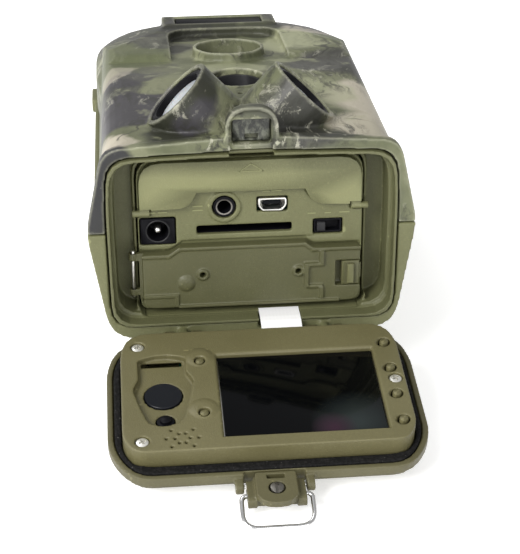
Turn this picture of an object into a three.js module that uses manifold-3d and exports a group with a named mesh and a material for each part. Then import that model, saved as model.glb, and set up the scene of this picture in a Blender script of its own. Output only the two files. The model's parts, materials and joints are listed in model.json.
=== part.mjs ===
// Trail camera lying on its back, with its bottom door open. Millimetres, +Z up out of the lens face.
// X runs across the body, +Y towards the top end, and the door opens towards -Y.
// The origin is the middle of the strap bracket's resting face.
import * as THREE from "three";
import { mergeVertices } from "three/addons/utils/BufferGeometryUtils.js";
import Module from "manifold-3d";

const wasm = await Module();
wasm.setup();

// ---- Driving dimensions ----
const gap = 0.3; // clearance between touching pieces
const length = 140.5; // body, rim to top end
const halfWidth = 43.9; // widest half-width, at the rim
const partingZ = 31.5; // height of the joint between the two shells
const rimDepth = 3.6; // how far the flared rim runs along Y
const bodyLift = 15; // height of the back shell over the bracket's resting face
const bracket = { halfWidth: 22, near: 14, far: 104, plate: 4.5, foot: 16 };
const faceY = 5.7; // plane of the upper battery cover inside the recess
const lowerFace = 4.9; // plane of the lower cover, which stands prouder
const stripY = 7.4; // plane of the connector strip
const hinge = { y: -2.4, z: 0.9, radius: 2, pin: 0.8 };
const doorTilt = 10; // degrees below level at rest
const panelTop = 5.7; // door's raised panel over the hinge axis
const gasketTop = 1.3;
const shellFloor = -3.1; // door's outer face under the hinge axis
const latchPivot = { v: 57, w: -1.5 };
const bailPivot = { v: 60.6, w: -0.9 };
const bailDrop = 17; // degrees that the bail hangs under the lever at rest
const wireRadius = 0.6;
const horn = { leftX: -18.9, rightX: 16, y: 19.5, z: 63, radius: 10.8, bore: 9.4, depth: 20 };
const hornFacing = new THREE.Vector3(0.69, 0.04, 0.72).normalize();
const pir = { y: 51, top: 55.6, radius: 7.7 };
const lens = { y: 86.3, top: 54.4, radius: 10.9, bore: 9.9, lean: 0.087 };
const irWindow = { halfWidth: 14.4, near: 120.8, far: 131 };

// ---- Solids ----
function solid(geometry) {
  const plain = geometry.index ? geometry.toNonIndexed() : geometry.clone();
  plain.deleteAttribute("normal");
  plain.deleteAttribute("uv");
  const merged = mergeVertices(plain, 1e-4);
  return new wasm.Manifold(
    new wasm.Mesh({
      numProp: 3,
      vertProperties: new Float32Array(merged.attributes.position.array),
      triVerts: new Uint32Array(merged.index.array),
    }),
  );
}

const join = (...parts) => parts.reduce((a, b) => a.add(b));
const cut = (base, ...tools) => tools.reduce((a, b) => a.subtract(b), base);

function box(x0, x1, y0, y1, z0, z1) {
  const g = new THREE.BoxGeometry(x1 - x0, y1 - y0, z1 - z0);
  return solid(g.translate((x0 + x1) / 2, (y0 + y1) / 2, (z0 + z1) / 2));
}

// A rod between two points, its radius going from r0 to r1.
function rod(from, to, r0, r1 = r0, sides = 18) {
  const a = new THREE.Vector3(...from);
  const b = new THREE.Vector3(...to);
  const g = new THREE.CylinderGeometry(r1, r0, a.distanceTo(b), sides);
  const along = b.clone().sub(a).normalize();
  const turn = new THREE.Quaternion().setFromUnitVectors(new THREE.Vector3(0, 1, 0), along);
  const middle = a.add(b).multiplyScalar(0.5);
  return solid(g.applyQuaternion(turn).translate(middle.x, middle.y, middle.z));
}

// A closed outline through corners [x, y, radius]; each corner is a curve that starts radius away from it,
// or nearer where its neighbour needs the room. grow moves the whole outline outwards.
function outline(corners, grow = 0) {
  const count = corners.length;
  const points = corners.map(([x, y]) => new THREE.Vector2(x, y));
  const area = points.reduce((sum, p, i) => sum + p.cross(points[(i + 1) % count]), 0);
  const side = Math.sign(area) * grow;
  const moved = points.map((p, i) => {
    const before = p.clone().sub(points[(i + count - 1) % count]).normalize();
    const after = points[(i + 1) % count].clone().sub(p).normalize();
    const normal = new THREE.Vector2(before.y + after.y, -before.x - after.x).normalize();
    const share = normal.x * before.y - normal.y * before.x;
    return p.clone().addScaledVector(normal, side / share);
  });
  const radiusAt = (i) => corners[i][2] ?? 0;
  const room = (i, j) => (0.98 * moved[i].distanceTo(moved[j])) / (radiusAt(i) + radiusAt(j) || 1);
  const shape = new THREE.Shape();
  moved.forEach((p, i) => {
    const last = (i + count - 1) % count;
    const next = (i + 1) % count;
    const radius = radiusAt(i) * Math.min(1, room(i, last), room(i, next));
    const start = p.clone().add(moved[last].clone().sub(p).setLength(radius));
    const end = p.clone().add(moved[next].clone().sub(p).setLength(radius));
    if (i === 0) shape.moveTo(start.x, start.y);
    else shape.lineTo(start.x, start.y);
    if (radius > 0) shape.quadraticCurveTo(p.x, p.y, end.x, end.y);
  });
  return shape;
}

// The left half of a symmetric outline, added to its right half.
const mirrored = (half) => [...half, ...half.toReversed().map(([x, y, r]) => [-x, y, r])];

const extrude = (shape, depth, steps) =>
  new THREE.ExtrudeGeometry(shape, { depth, bevelEnabled: false, curveSegments: steps });

const alongZ = (shape, z0, z1, steps = 4) => solid(extrude(shape, z1 - z0, steps).translate(0, 0, z0));

// An (x, z) outline extruded along Y.
const alongY = (shape, y0, y1, steps = 4) =>
  solid(extrude(shape, y1 - y0, steps).translate(0, 0, -y1).rotateX(Math.PI / 2));

// A (y, z) outline extruded along X.
function alongX(shape, x0, x1, steps = 4) {
  const turn = new THREE.Matrix4().makeBasis(
    new THREE.Vector3(0, 1, 0),
    new THREE.Vector3(0, 0, 1),
    new THREE.Vector3(1, 0, 0),
  );
  return solid(extrude(shape, x1 - x0, steps).translate(0, 0, x0).applyMatrix4(turn));
}

// ---- Scene graph ----
const camera = new THREE.Group();
const housing = new THREE.Group();
housing.position.set(0, -(bracket.near + bracket.far) / 2, bodyLift);
const door = new THREE.Group();
door.position.set(0, hinge.y, hinge.z);
door.rotation.x = THREE.MathUtils.degToRad(doorTilt);
housing.add(door);
camera.add(housing);

const material = (color, roughness, metalness = 0) =>
  new THREE.MeshStandardMaterial({ color, roughness, metalness });
const camo = material(0x7a7a62, 0.75);
const olive = material(0x6a6846, 0.6);
const black = material(0x121212, 0.5);
const rubber = material(0x1a1a1a, 0.9);
const steel = material(0xb8b8b8, 0.3, 1);
const glass = material(0x08090c, 0.08);
const film = material(0xd9d7e0, 0.35);
const board = material(0x1f4a2c, 0.6);

function add(name, body, look, group = housing) {
  const made = body.getMesh();
  const g = new THREE.BufferGeometry();
  g.setAttribute("position", new THREE.BufferAttribute(new Float32Array(made.vertProperties), 3));
  g.setIndex(new THREE.BufferAttribute(new Uint32Array(made.triVerts), 1));
  g.computeVertexNormals();
  const mesh = new THREE.Mesh(g, look);
  mesh.name = name;
  group.add(mesh);
  return mesh;
}

// ---- Housing outlines ----
const rimOutline = mirrored([
  [38.6, 0, 7.5],
  [halfWidth, partingZ, 4],
  [38.8, 55, 5],
  [8, 57.2, 6],
]);
const bodyOutline = mirrored([
  [37.6, 0, 8],
  [41.8, partingZ, 0],
  [40.7, partingZ, 0],
  [38.2, 54, 7],
  [8, 56, 6],
]);
const mouthOutline = mirrored([
  [38.1, 4, 6.5],
  [38.5, 38, 6],
  [37.7, 52.2, 6.5],
  [10, 53.1, 4],
]);
const topEnd = alongZ(
  outline(mirrored([[44, -1, 0], [44, 100, 0], [42, length, 30]])),
  -1,
  70,
  8,
);
const frontSlope = [
  [2, 60, 0],
  [48, 56.2, 10],
  [84, 51.5, 8],
  [118, 48, 0],
  [length + 1, 45.5, 14],
];
const browSlope = [
  [76, 40, 0],
  [76.5, 50, 0],
  [81, 53.8, 3],
  [119, 51, 8],
  [136, 47.5, 6],
  [length + 1, 42, 0],
  [length + 1, 31, 0],
];
// The top end is rounded over: each ring is an inset and a height.
const farPlan = mirrored([[38, 60, 0], [41.2, 96, 0], [41.4, length, 29]]);
const farRings = [[0, 42.5], [1.5, 44.4], [4, 46.4], [8, 48.3], [14, 50.3]];
const pillow = wasm.Manifold.hull([
  box(-46, 46, -1, 60, -1, 57),
  alongZ(outline(farPlan), -1, 42, 8),
  ...farRings.map(([inset, z]) => alongZ(outline(farPlan, -inset), z - 0.1, z, 8)),
]).add(box(-46, 46, -1, 86, 50, 70));

// Everything inside the outer surface of the two shells, horns and brow left out.
const envelope = join(
  alongY(outline(rimOutline), 0, rimDepth, 6),
  alongY(outline(bodyOutline), rimDepth - 0.5, length + 1, 6)
    .intersect(topEnd)
    .intersect(alongX(outline([[-1, -1, 0], ...frontSlope, [length + 1, -1, 0]].toReversed()), -45, 45))
    .intersect(pillow),
  wasm.Manifold.hull([
    alongZ(outline(farPlan), partingZ - 0.1, 42.5, 8),
    alongZ(outline(farPlan, -2.2), 46.4, 46.5, 8),
  ]).intersect(pillow),
);
const backRound = alongX(
  outline([[-1, 0, 0], [length - 1, 0, 9], [length + 1, partingZ + 3, 0], [length + 1, 70, 0], [-1, 70, 0]]),
  -45,
  45,
);

// ---- Front shell ----
const hornAxis = (sx) => new THREE.Vector3(sx * hornFacing.x, hornFacing.y, hornFacing.z);
const onHorn = (sx, along) =>
  new THREE.Vector3(sx < 0 ? horn.leftX : horn.rightX, horn.y, horn.z)
    .addScaledVector(hornAxis(sx), along)
    .toArray();

// The lens well leans with the slope of the front.
const onLens = (along) => [0, lens.y + lens.lean * along, lens.top + along];

const archOutline = mirrored([[17.8, 76, 0], [17.8, 116.4, 10]]);
const brow = cut(
  alongY(outline(bodyOutline), 70, length + 1, 6)
    .intersect(topEnd)
    .intersect(alongX(outline(browSlope), -45, 45))
    .intersect(pillow),
  alongZ(outline(archOutline), 30, 70, 6),
);
const irBlock = alongX(
  outline([[119, 40, 0], [119, 51.7, 1.5], [133.8, 50.4, 2], [136, 42, 0]]),
  -19.2,
  18.2,
);
const hoodOutline = [
  [7, 50, 0],
  [7, 65.4, 6.6],
  [-7, 65.4, 6.6],
  [-7, 50, 0],
];
const hoodSlope = [[0, 50, 0], [0, 65.4, 0], [3.2, 65.4, 1], [5.6, 60.5, 0], [7, 50, 0]];
const catchHood = join(
  alongY(outline(hoodOutline), 0, 3.2, 8),
  alongX(outline(hoodSlope), -7, 7).intersect(alongY(outline(hoodOutline, -0.5), 0, 9, 8)),
);
const cavitySide = [
  [-2, 2.6, 0],
  [length - 3.5, 2.6, 6],
  [length - 2.6, partingZ, 0],
  [length - 4, 39.5, 4],
  [118, 42.6, 0],
  [98, 45, 0],
  [84, 48.9, 0],
  [48, 53.4, 0],
  [-2, 53.4, 0],
];
const lipDepth = 4; // the liner is a little narrower beyond this
const linerDepth = 13.2;
const cavity = join(
  alongY(outline(mouthOutline, 0.4), -2, lipDepth + gap),
  alongY(outline(mouthOutline, -0.6), lipDepth - 1, linerDepth + gap),
  alongY(outline(bodyOutline, -2.2), linerDepth, length - 2)
    .intersect(alongX(outline(cavitySide), -45, 45))
    .intersect(alongZ(outline(mirrored([[44, -3, 0], [44, 98, 0], [39.4, length - 2.6, 28]])), -1, 70, 6)),
);

function makeFrontShell() {
  let shell = join(envelope, brow, irBlock, catchHood);
  for (const sx of [-1, 1]) {
    shell = shell.add(rod(onHorn(sx, -horn.depth), onHorn(sx, 0), horn.radius, horn.radius, 26));
  }
  shell = shell.add(rod(onLens(-14), onLens(0), lens.radius + 1.2, lens.radius, 26));
  shell = shell.add(rod([0, pir.y, 45], [0, pir.y, pir.top + 0.8], pir.radius + 2, pir.radius + 1, 26));
  shell = cut(shell.intersect(box(-50, 50, -1, 150, partingZ + 0.15, 80)), cavity);
  for (const sx of [-1, 1]) {
    shell = shell.subtract(rod(onHorn(sx, -5.8), onHorn(sx, 1), horn.bore, horn.bore, 26));
    shell = shell.subtract(rod(onHorn(sx, -12), onHorn(sx, -5), 4.2, 4.2));
  }
  return cut(
    shell,
    rod([0, pir.y, 40], [0, pir.y, 70], pir.radius, pir.radius, 26),
    rod(onLens(-8), onLens(15), lens.bore, lens.bore, 26),
    rod([0, lens.y, 40], [0, lens.y, 50], 7.2, 7.2, 26),
    box(-irWindow.halfWidth - 0.5, irWindow.halfWidth - 0.5, irWindow.near, irWindow.far, 40, 60),
    rod([0, 38.2, 50], [0, 38.2, 70], 0.8, 0.8, 12),
    alongY(outline(hoodOutline, -0.9), -1, 0.8, 8).intersect(box(-9, 9, -1, 2, 55.1, 70)),
    box(-5.3, 5.1, -1, 4, 55.1, 61.8),
    box(-5.7, 5.3, -1, 0.9, 50, 56),
  );
}
add("front_shell", makeFrontShell(), camo);

// ---- Back shell, with its hinge knuckles and strap lugs ----
const knuckles = { housing: [[-20.6, -18.1], [18.1, 20.2]], door: [[-24.5, -20.9], [-17.8, -14.3], [13.7, 17.8], [20.5, 24.1]] };
const barrel = (x0, x1, y, z, radius) => rod([x0, y, z], [x1, y, z], radius);

const housingScrews = [[-32.5, 76], [32.5, 76], [-30, 126], [30, 126]];
const bracketPegs = [[-14, bracket.near + 8], [14, bracket.near + 8], [-14, bracket.far - 8], [14, bracket.far - 8]];
const pegRadius = 2.5;
const pegLength = 7;

function makeBackShell() {
  let shell = cut(envelope.intersect(backRound).intersect(box(-50, 50, -1, 150, -1, partingZ - 0.15)), cavity);
  for (const [x0, x1] of knuckles.housing) {
    const web = alongX(outline([[hinge.y, -1.1, 0], [1.5, 0.4, 0], [1.5, 2.9, 0], [hinge.y, 2.9, 0]]), x0, x1);
    shell = shell.add(web).add(barrel(x0, x1, hinge.y, hinge.z, hinge.radius));
  }
  for (const sx of [-1, 1]) {
    const lug = [[39, 86, 0], [43.3, 90, 2], [43.3, 102, 2], [39, 106, 0]].map(([x, y, r]) => [sx * x, y, r]);
    shell = shell.add(alongZ(outline(lug), 26.5, partingZ - 0.15));
  }
  for (const [x, y] of bracketPegs) shell = shell.add(rod([x, y, -pegLength], [x, y, 1], pegRadius, pegRadius, 16));
  const screwHoles = housingScrews.map(([x, y]) => rod([x, y, -1], [x, y, 4], 1.7, 1.7, 12));
  const ribbonSlot = box(1.4, 13, -1, 5, 1.6, 6);
  return cut(
    shell,
    ...screwHoles,
    ribbonSlot,
    ...knuckles.housing.map(([x0, x1]) => barrel(x0 - 1, x1 + 1, hinge.y, hinge.z, hinge.pin + gap)),
  );
}
add("back_shell", makeBackShell(), olive);
housingScrews.forEach(([x, y], i) => {
  const screw = join(rod([x, y, 0.4], [x, y, 1.6], 1.4, 1.4, 12), rod([x, y, 1.5], [x, y, 24], 0.9, 0.9, 8));
  add(`housing_screw_${i + 1}`, screw, steel);
});

// ---- Strap bracket on the back ----
function makeBracket() {
  const top = -gap;
  const side = [
    [bracket.near, -bodyLift, 2],
    [bracket.far, -bodyLift, 2],
    [bracket.far, top, 0],
    [bracket.far - bracket.foot, top, 0],
    [bracket.far - bracket.foot, bracket.plate - bodyLift, 3],
    [bracket.near + bracket.foot, bracket.plate - bodyLift, 3],
    [bracket.near + bracket.foot, top, 0],
    [bracket.near, top, 0],
  ];
  const holes = bracketPegs.map(([x, y]) => rod([x, y, -pegLength - gap], [x, y, 1], pegRadius + gap));
  return cut(alongX(outline(side), -bracket.halfWidth, bracket.halfWidth), ...holes);
}
add("strap_bracket", makeBracket(), olive);

// ---- Liner: the raised lip and the recess round the module ----
const moduleOutline = mirrored([[30.3, 5.3, 2.4], [30.3, 49.3, 6]]);
const hingePin = { x: -32, y: 7, z0: 9.6, z1: 23.3 };
function makeLiner() {
  const opening = outline(moduleOutline, 0.4);
  const lip = cut(alongY(outline(mouthOutline), -0.8, lipDepth), alongY(outline(mouthOutline, -0.8), -2, 9));
  const tray = cut(
    alongY(outline(mouthOutline, -0.9), lipDepth - 0.5, linerDepth),
    alongY(outline(mouthOutline, -1.8), lipDepth - 1, linerDepth - 1.2),
    alongY(outline(mouthOutline, -1.1), -2, lipDepth),
  );
  const shoulder = cut(
    alongY(outline(mouthOutline, -0.5), lipDepth - 0.6, lipDepth),
    alongY(outline(mouthOutline, -1.1), -2, 9),
  );
  const collar = alongY(outline(moduleOutline, 1.1), 5.4, linerDepth).intersect(
    alongY(outline(mouthOutline, -0.9), 5, linerDepth),
  );
  return cut(
    join(lip, shoulder, tray, collar),
    alongY(opening, 0, 20),
    box(-6, 5.6, -2, 2, 50, 60),
    box(-33.6, -29, 4, 9, hingePin.z0 - 0.5, hingePin.z1 + 0.3),
    box(30, 32.2, 4, 6.8, 9.9, 19.8),
    box(-32.3, -30, 4, 9, 32.6, 35.6),
    box(30, 32.3, 4, 9, 32.6, 35.6),
    box(1.4, 13, -2, 5, 3, 5.4),
  );
}
add("liner", makeLiner(), olive);

// ---- Chassis with its two battery bays and the connector strip ----
const upperCover = [
  [-30, 35, 0],
  [-18.9, 35.2, 0],
  [-16, 36.2, 1.5],
  [-14.3, 39.6, 0],
  [14.3, 39.6, 0],
  [16, 36.2, 1.5],
  [18.9, 35, 0],
  [30, 34.5, 0],
  [30, 49, 6],
  [-30, 49, 6],
];
const lowerCover = [
  [-30, 6.2, 3],
  [30, 6.2, 3],
  [30, 23.3, 1],
  [17, 23.3, 1],
  [14.8, 25, 0],
  [-19.2, 25, 0],
  [-22, 23.1, 1],
  [-30, 23.1, 1],
];
const dcJack = { x: -25, z: 28.5, half: 4.6, deep: 10.5 };
const avJack = { x: -7.1, z: 35, ring: 4.4 };
const usb = { x: 5.8, z: 35.2, w: 7.6, h: 3.7 };
const sdSlot = { x0: -14.6, x1: 11.2, z0: 27, z1: 29.5 };
const modeSwitch = { x0: 16.9, x1: 25, z0: 25.6, z1: 30.2 };

function makeChassis() {
  const block = join(
    alongY(outline(moduleOutline), stripY, 41.2, 4),
    box(-30.3, 30.3, 40, 62.2, 5.3, 33.6),
    rod([avJack.x, stripY - 0.6, avJack.z], [avJack.x, stripY + 1, avJack.z], avJack.ring),
  );
  return cut(
    block,
    alongY(outline(upperCover), 4, 7.9, 4),
    alongY(outline(upperCover, -1), 7.5, 39.9, 3),
    alongY(outline(lowerCover), 4, 7.9, 4),
    alongY(outline(lowerCover, -1), 7.5, 61, 3),
    box(-29.2, 29.2, 9, 70, 25.9, 33.2),
    box(-12.3, 11, 9, 42, 33, 38.2),
    box(dcJack.x - 4.9, dcJack.x + 4.9, 4, 18.4, dcJack.z - 4, dcJack.z + 4),
    rod([avJack.x, 4, avJack.z], [avJack.x, 12, avJack.z], 3.3),
    box(usb.x - usb.w / 2 - 0.4, usb.x + usb.w / 2 + 0.4, 4, 12, usb.z - usb.h / 2 - 0.4, usb.z + usb.h / 2 + 0.4),
    box(sdSlot.x0, sdSlot.x1, 4, 12, sdSlot.z0, sdSlot.z1),
    box(modeSwitch.x0, modeSwitch.x1, 4, 12, modeSwitch.z0, modeSwitch.z1),
    box(-31, -26.8, 4, 8.2, 32.8, 35.3),
    box(26.8, 31, 4, 8.2, 32.8, 35.3),
    box(-31, -29.3, 4, 8.4, hingePin.z0 - 0.4, hingePin.z1),
    box(28.5, 31, 4, 8.4, 9.6, 20),
    rod(onHorn(-1, -5.8), onHorn(-1, 0), horn.bore, horn.bore, 26),
    rod(onHorn(1, -5.8), onHorn(1, 0), horn.bore, horn.bore, 26),
  );
}
add("chassis", makeChassis(), olive);

function contactPlate(y, z0, z1, count) {
  const z = (z0 + z1) / 2;
  let plate = box(-27.5, 27.5, y, y + 0.8, z0, z1);
  for (let i = 0; i < count; i++) {
    const x = -27.5 + (55 * (i + 0.5)) / count;
    plate = plate.add(rod([x, y - 3, z], [x, y + 0.2, z], 1.2, Math.min(3.6, (z1 - z0) / 2 - 0.2), 12));
  }
  return plate;
}
add("upper_contact_plate", contactPlate(38.7, 41, 45.7, 4), steel);
add("lower_contact_plate", contactPlate(59.8, 8.2, 21.6, 4), steel);

// ---- Connectors and boards ----
const jackBody = box(dcJack.x - dcJack.half, dcJack.x + dcJack.half, stripY - 0.1, stripY + dcJack.deep, 24.8, 32.2);
add(
  "dc_jack",
  join(
    jackBody.subtract(rod([dcJack.x, 0, dcJack.z], [dcJack.x, 15, dcJack.z], 2.9)),
    rod([dcJack.x, stripY + 0.8, dcJack.z], [dcJack.x, 16, dcJack.z], 0.9, 0.9, 12),
  ),
  black,
);
add(
  "av_jack",
  join(
    rod([avJack.x, stripY - 0.3, avJack.z], [avJack.x, 10.2, avJack.z], 2.9),
    box(avJack.x - 3.6, avJack.x + 3.6, 9.7, 20, 32.5, 37.6),
  ).subtract(rod([avJack.x, 0, avJack.z], [avJack.x, 17, avJack.z], 1.85)),
  black,
);
const usbShape = (grow) => {
  const half = usb.w / 2;
  const low = usb.z - usb.h / 2;
  const high = usb.z + usb.h / 2;
  return outline(
    [
      [usb.x - half + 1.2, low, 0.4],
      [usb.x + half - 1.2, low, 0.4],
      [usb.x + half, low + 1.5, 0.6],
      [usb.x + half, high, 0.6],
      [usb.x - half, high, 0.6],
      [usb.x - half, low + 1.5, 0.6],
    ],
    grow,
  );
};
add(
  "usb_socket",
  join(
    alongY(usbShape(0), stripY - 0.5, 14, 3).subtract(alongY(usbShape(-0.45), 0, 12.8, 3)),
    box(usb.x - 2.3, usb.x + 2.3, stripY + 0.8, 13, usb.z - 0.2, usb.z + 0.6),
  ),
  steel,
);
add(
  "sd_socket",
  cut(box(-15.8, 12.4, 9.2, 36, 26.2, 30.4), box(-14.8, 11.4, 0, 34.6, 27, 29.4)),
  black,
);
const switchZ = (modeSwitch.z0 + modeSwitch.z1) / 2;
add(
  "switch_housing",
  cut(
    box(modeSwitch.x0 + 0.3, modeSwitch.x1 - 0.3, stripY + 0.6, 13.8, modeSwitch.z0 + 0.3, modeSwitch.z1 - 0.3),
    box(modeSwitch.x0 + 0.8, modeSwitch.x1 - 0.8, 0, 10.4, modeSwitch.z0 + 0.8, modeSwitch.z1 - 0.8),
  ),
  black,
);
const knobX = modeSwitch.x0 + 1.05;
add("mode_switch_knob", box(knobX, knobX + 2.3, stripY - 0.2, 10.1, switchZ - 1.3, switchZ + 1.3), steel);
add(
  "main_board",
  cut(box(-28.8, 28.8, 10.4, 100, 30.9, 32.2), box(-31, -19.9, 0, 18.4, 30, 34)),
  board,
);

// ---- Battery covers ----
function makeUpperCover() {
  const plate = cut(
    alongY(outline(upperCover, -0.35), faceY, 7.6, 4),
    box(-31, -26.6, 4, 9, 34, 35.7),
    box(26.6, 31, 4, 9, 34, 35.7),
  );
  const trunnion = (x0, x1) =>
    join(barrel(x0, x1, 6.9, 34.1, 0.9), box(Math.max(x0, -29.6), Math.min(x1, 29.6), 6.3, 7.5, 34.1, 36));
  return join(plate, trunnion(-31.6, -27.1), trunnion(27.1, 31.6));
}
add("upper_battery_cover", makeUpperCover(), olive);

const latchTongue = { x0: 24.6, x1: 29.4, z0: 11.4, z1: 18.4 };
function makeLowerCover() {
  const plate = cut(
    alongY(outline(lowerCover, -0.35), lowerFace, 7.5, 4),
    box(latchTongue.x0 - 1.7, 31, 0, 9, latchTongue.z0 - 0.3, latchTongue.z1 + 0.3),
    rod([-13.3, 0, 16.3], [-13.3, 9, 16.3], 0.65, 0.65, 12),
    rod([12.7, 0, 16.2], [12.7, 9, 16.2], 0.65, 0.65, 12),
  );
  const backing = box(latchTongue.x0 - 3, 29, 7.4, 7.9 + 0.5, latchTongue.z0 - 1, latchTongue.z1 + 1);
  const arm = (z0, z1) =>
    join(
      rod([hingePin.x, hingePin.y, z0], [hingePin.x, hingePin.y, z1], 1.25),
      box(hingePin.x, -29, faceY + 0.3, 7.5, z0, z1),
    ).subtract(rod([hingePin.x, hingePin.y, 0], [hingePin.x, hingePin.y, 40], 0.85, 0.85, 12));
  return join(
    plate.subtract(box(-31, -29.4, 0, 9, 9, 24)).add(backing),
    arm(10.3, 12.1),
    arm(20.6, 22.6),
    alongY(outline([[-30.4, 9.2, 0], [-29, 9.2, 0], [-29, 22.8, 0], [-30.4, 22.8, 0]]), 6, 7.5),
    rod([-17.8, lowerFace - 0.5, 13.8], [-17.8, 6.5, 13.8], 1.1, 1.5, 12),
  );
}
add("lower_battery_cover", makeLowerCover(), olive);
add(
  "lower_cover_pin",
  rod([hingePin.x, hingePin.y, hingePin.z0], [hingePin.x, hingePin.y, hingePin.z1], 0.55, 0.55, 12),
  steel,
);
add(
  "cover_latch",
  join(
    box(latchTongue.x0, latchTongue.x1, lowerFace, 7.1, latchTongue.z0, latchTongue.z1),
    box(latchTongue.x0 + 1.5, latchTongue.x0 + 3.3, lowerFace - 0.8, 6.2, latchTongue.z0 + 0.6, latchTongue.z1 - 0.6),
    box(latchTongue.x1 - 0.5, 30.1, faceY + 0.5, 7.1, latchTongue.z0 + 1.2, latchTongue.z1 - 1.2),
  ),
  olive,
);

// ---- Optics and sensors ----
add(
  "catch_plate",
  cut(box(-5, 4.8, 2.6, 3.7, 55.4, 61.5), box(-1.7, 1.6, 0, 9, 55.9, 57.2)),
  black,
);
add(
  "lens_barrel",
  cut(
    join(rod([0, lens.y, 34], [0, lens.y, 47], 6.8, 6.8, 28), rod([0, lens.y - 0.5, 46.8], [0, lens.y - 0.5, 48.2], 9.2, 9.2, 26)),
    rod([0, lens.y, 42], [0, lens.y, 60], 5, 6.6, 28),
    rod([0, lens.y, 30], [0, lens.y, 44], 3.4, 3.4),
  ),
  black,
);
add("lens_glass", rod([0, lens.y, 42.6], [0, lens.y, 44.4], 4.6, 4.9, 28), glass);
add("image_sensor_board", join(box(-14, 14, 72, 100, 32.5, 33.7), box(-2.2, 2.2, 83.8, 88.2, 33.5, 35.4)), board);
add(
  "ir_led_window",
  alongX(
    outline([
      [irWindow.near + gap, 49.9, 0],
      [irWindow.near + gap, 51.1, 0],
      [irWindow.far - gap, 50.1, 0],
      [irWindow.far - gap, 48.9, 0],
    ]),
    -irWindow.halfWidth - 0.2,
    irWindow.halfWidth - 0.8,
  ),
  glass,
);
function makeLedBoard() {
  let plate = box(-16, 15, 121, 133, 37.6, 38.8);
  for (let i = 0; i < 5; i++) {
    for (let j = 0; j < 2; j++) {
      const at = [-12.5 + i * 5.9, 125.2 + j * 4];
      plate = plate.add(rod([...at, 38.6], [...at, 44], 1.4, 1.2, 8));
    }
  }
  return plate;
}
add("ir_led_board", makeLedBoard(), board);
add(
  "pir_sleeve",
  cut(
    rod([0, pir.y, 47.9], [0, pir.y, 54.6], pir.radius - gap, pir.radius - gap, 26),
    rod([0, pir.y, 48.4], [0, pir.y, 60], pir.radius - 1.1, pir.radius - 1.1, 26),
    rod([0, pir.y, 40], [0, pir.y, 60], pir.radius - 2, pir.radius - 2, 26),
  ),
  black,
);
add("pir_window", rod([0, pir.y, 48.6], [0, pir.y, 49.3], pir.radius - 1.4, pir.radius - 1.4, 28), glass);
add(
  "pir_sensor",
  join(box(-9, 9, 43, 59, 40, 41.2), rod([0, pir.y, 41], [0, pir.y, 45.2], 4.2, 4.2, 20)),
  steel,
);
for (const [side, sx] of [["left", -1], ["right", 1]]) {
  const ring = cut(
    rod(onHorn(sx, -5.4), onHorn(sx, -0.6), horn.bore - gap, horn.bore - gap, 26),
    rod(onHorn(sx, -3), onHorn(sx, 1), horn.bore - 2, horn.bore - 1.4, 26),
    rod(onHorn(sx, -4.4), onHorn(sx, -2), horn.bore - 3, horn.bore - 3, 26),
  );
  add(`${side}_pir_cup`, ring.add(rod(onHorn(sx, -9.4), onHorn(sx, -4), 3.9, 3.9, 16)), black);
  add(`${side}_pir_film`, rod(onHorn(sx, -2.7), onHorn(sx, -2.1), horn.bore - 2.4, horn.bore - 2.3, 28), film);
}

// ---- Door, in its own frame: the hinge axis is X, v runs from it to the latch edge, w stands off its outer face ----
const slab = (corners, grow, w0, w1, steps = 4) => {
  const flipped = corners.map(([u, v, r]) => [u, -v, r]);
  return alongZ(outline(flipped, grow), w0, w1, steps);
};
const dBox = (u0, u1, v0, v1, w0, w1) => box(u0, u1, -v1, -v0, w0, w1);
const dRod = (u, v, w0, w1, r0, r1 = r0, sides = 16) => rod([u, -v, w0], [u, -v, w1], r0, r1, sides);

const doorOutline = mirrored([[36.4, 2.7, 7], [40.2, 13, 5], [40.2, 43.5, 5], [37.7, 49.8, 4], [33.2, 55.3, 5]]);
const panelOutline = mirrored([[34.6, 4.4, 7], [36.4, 13, 3], [36.4, 44.6, 2.5], [33.6, 50.2, 3]]);
const windowOutline = [[-11.5, 14.5, 0], [29.5, 14.5, 0], [29.5, 45.9, 0], [-11.5, 45.9, 0]];
const keyhole = [
  [-32.1, 15.4, 1.5],
  [-26, 12.6, 6],
  [-19.5, 15, 1.5],
  [-19.7, 20.3, 1],
  [-17.8, 24, 1.5],
  [-18.8, 30.5, 3],
  [-21, 39.5, 3],
  [-25.6, 41.8, 4],
  [-29.8, 40.2, 2.5],
  [-31.7, 34.5, 3],
  [-33.5, 27, 1.5],
  [-31.9, 22.8, 1],
];
const keyholeDepth = 1.7;
const doorScrews = [[-31.8, 9.8], [-31.6, 46.4], [33.9, 27.3]];
const sideButtons = [[-15.9, 17], [-15.9, 37.2]];
const navButtons = [[33.2, 12.5], [33.3, 22.9], [33.3, 33.2], [33.4, 43.1]];
const eye = { u: -25.8, v: 28.3, radius: 4.8 };
const speakerAt = { u: -21.7, v: 45.9 };

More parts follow.
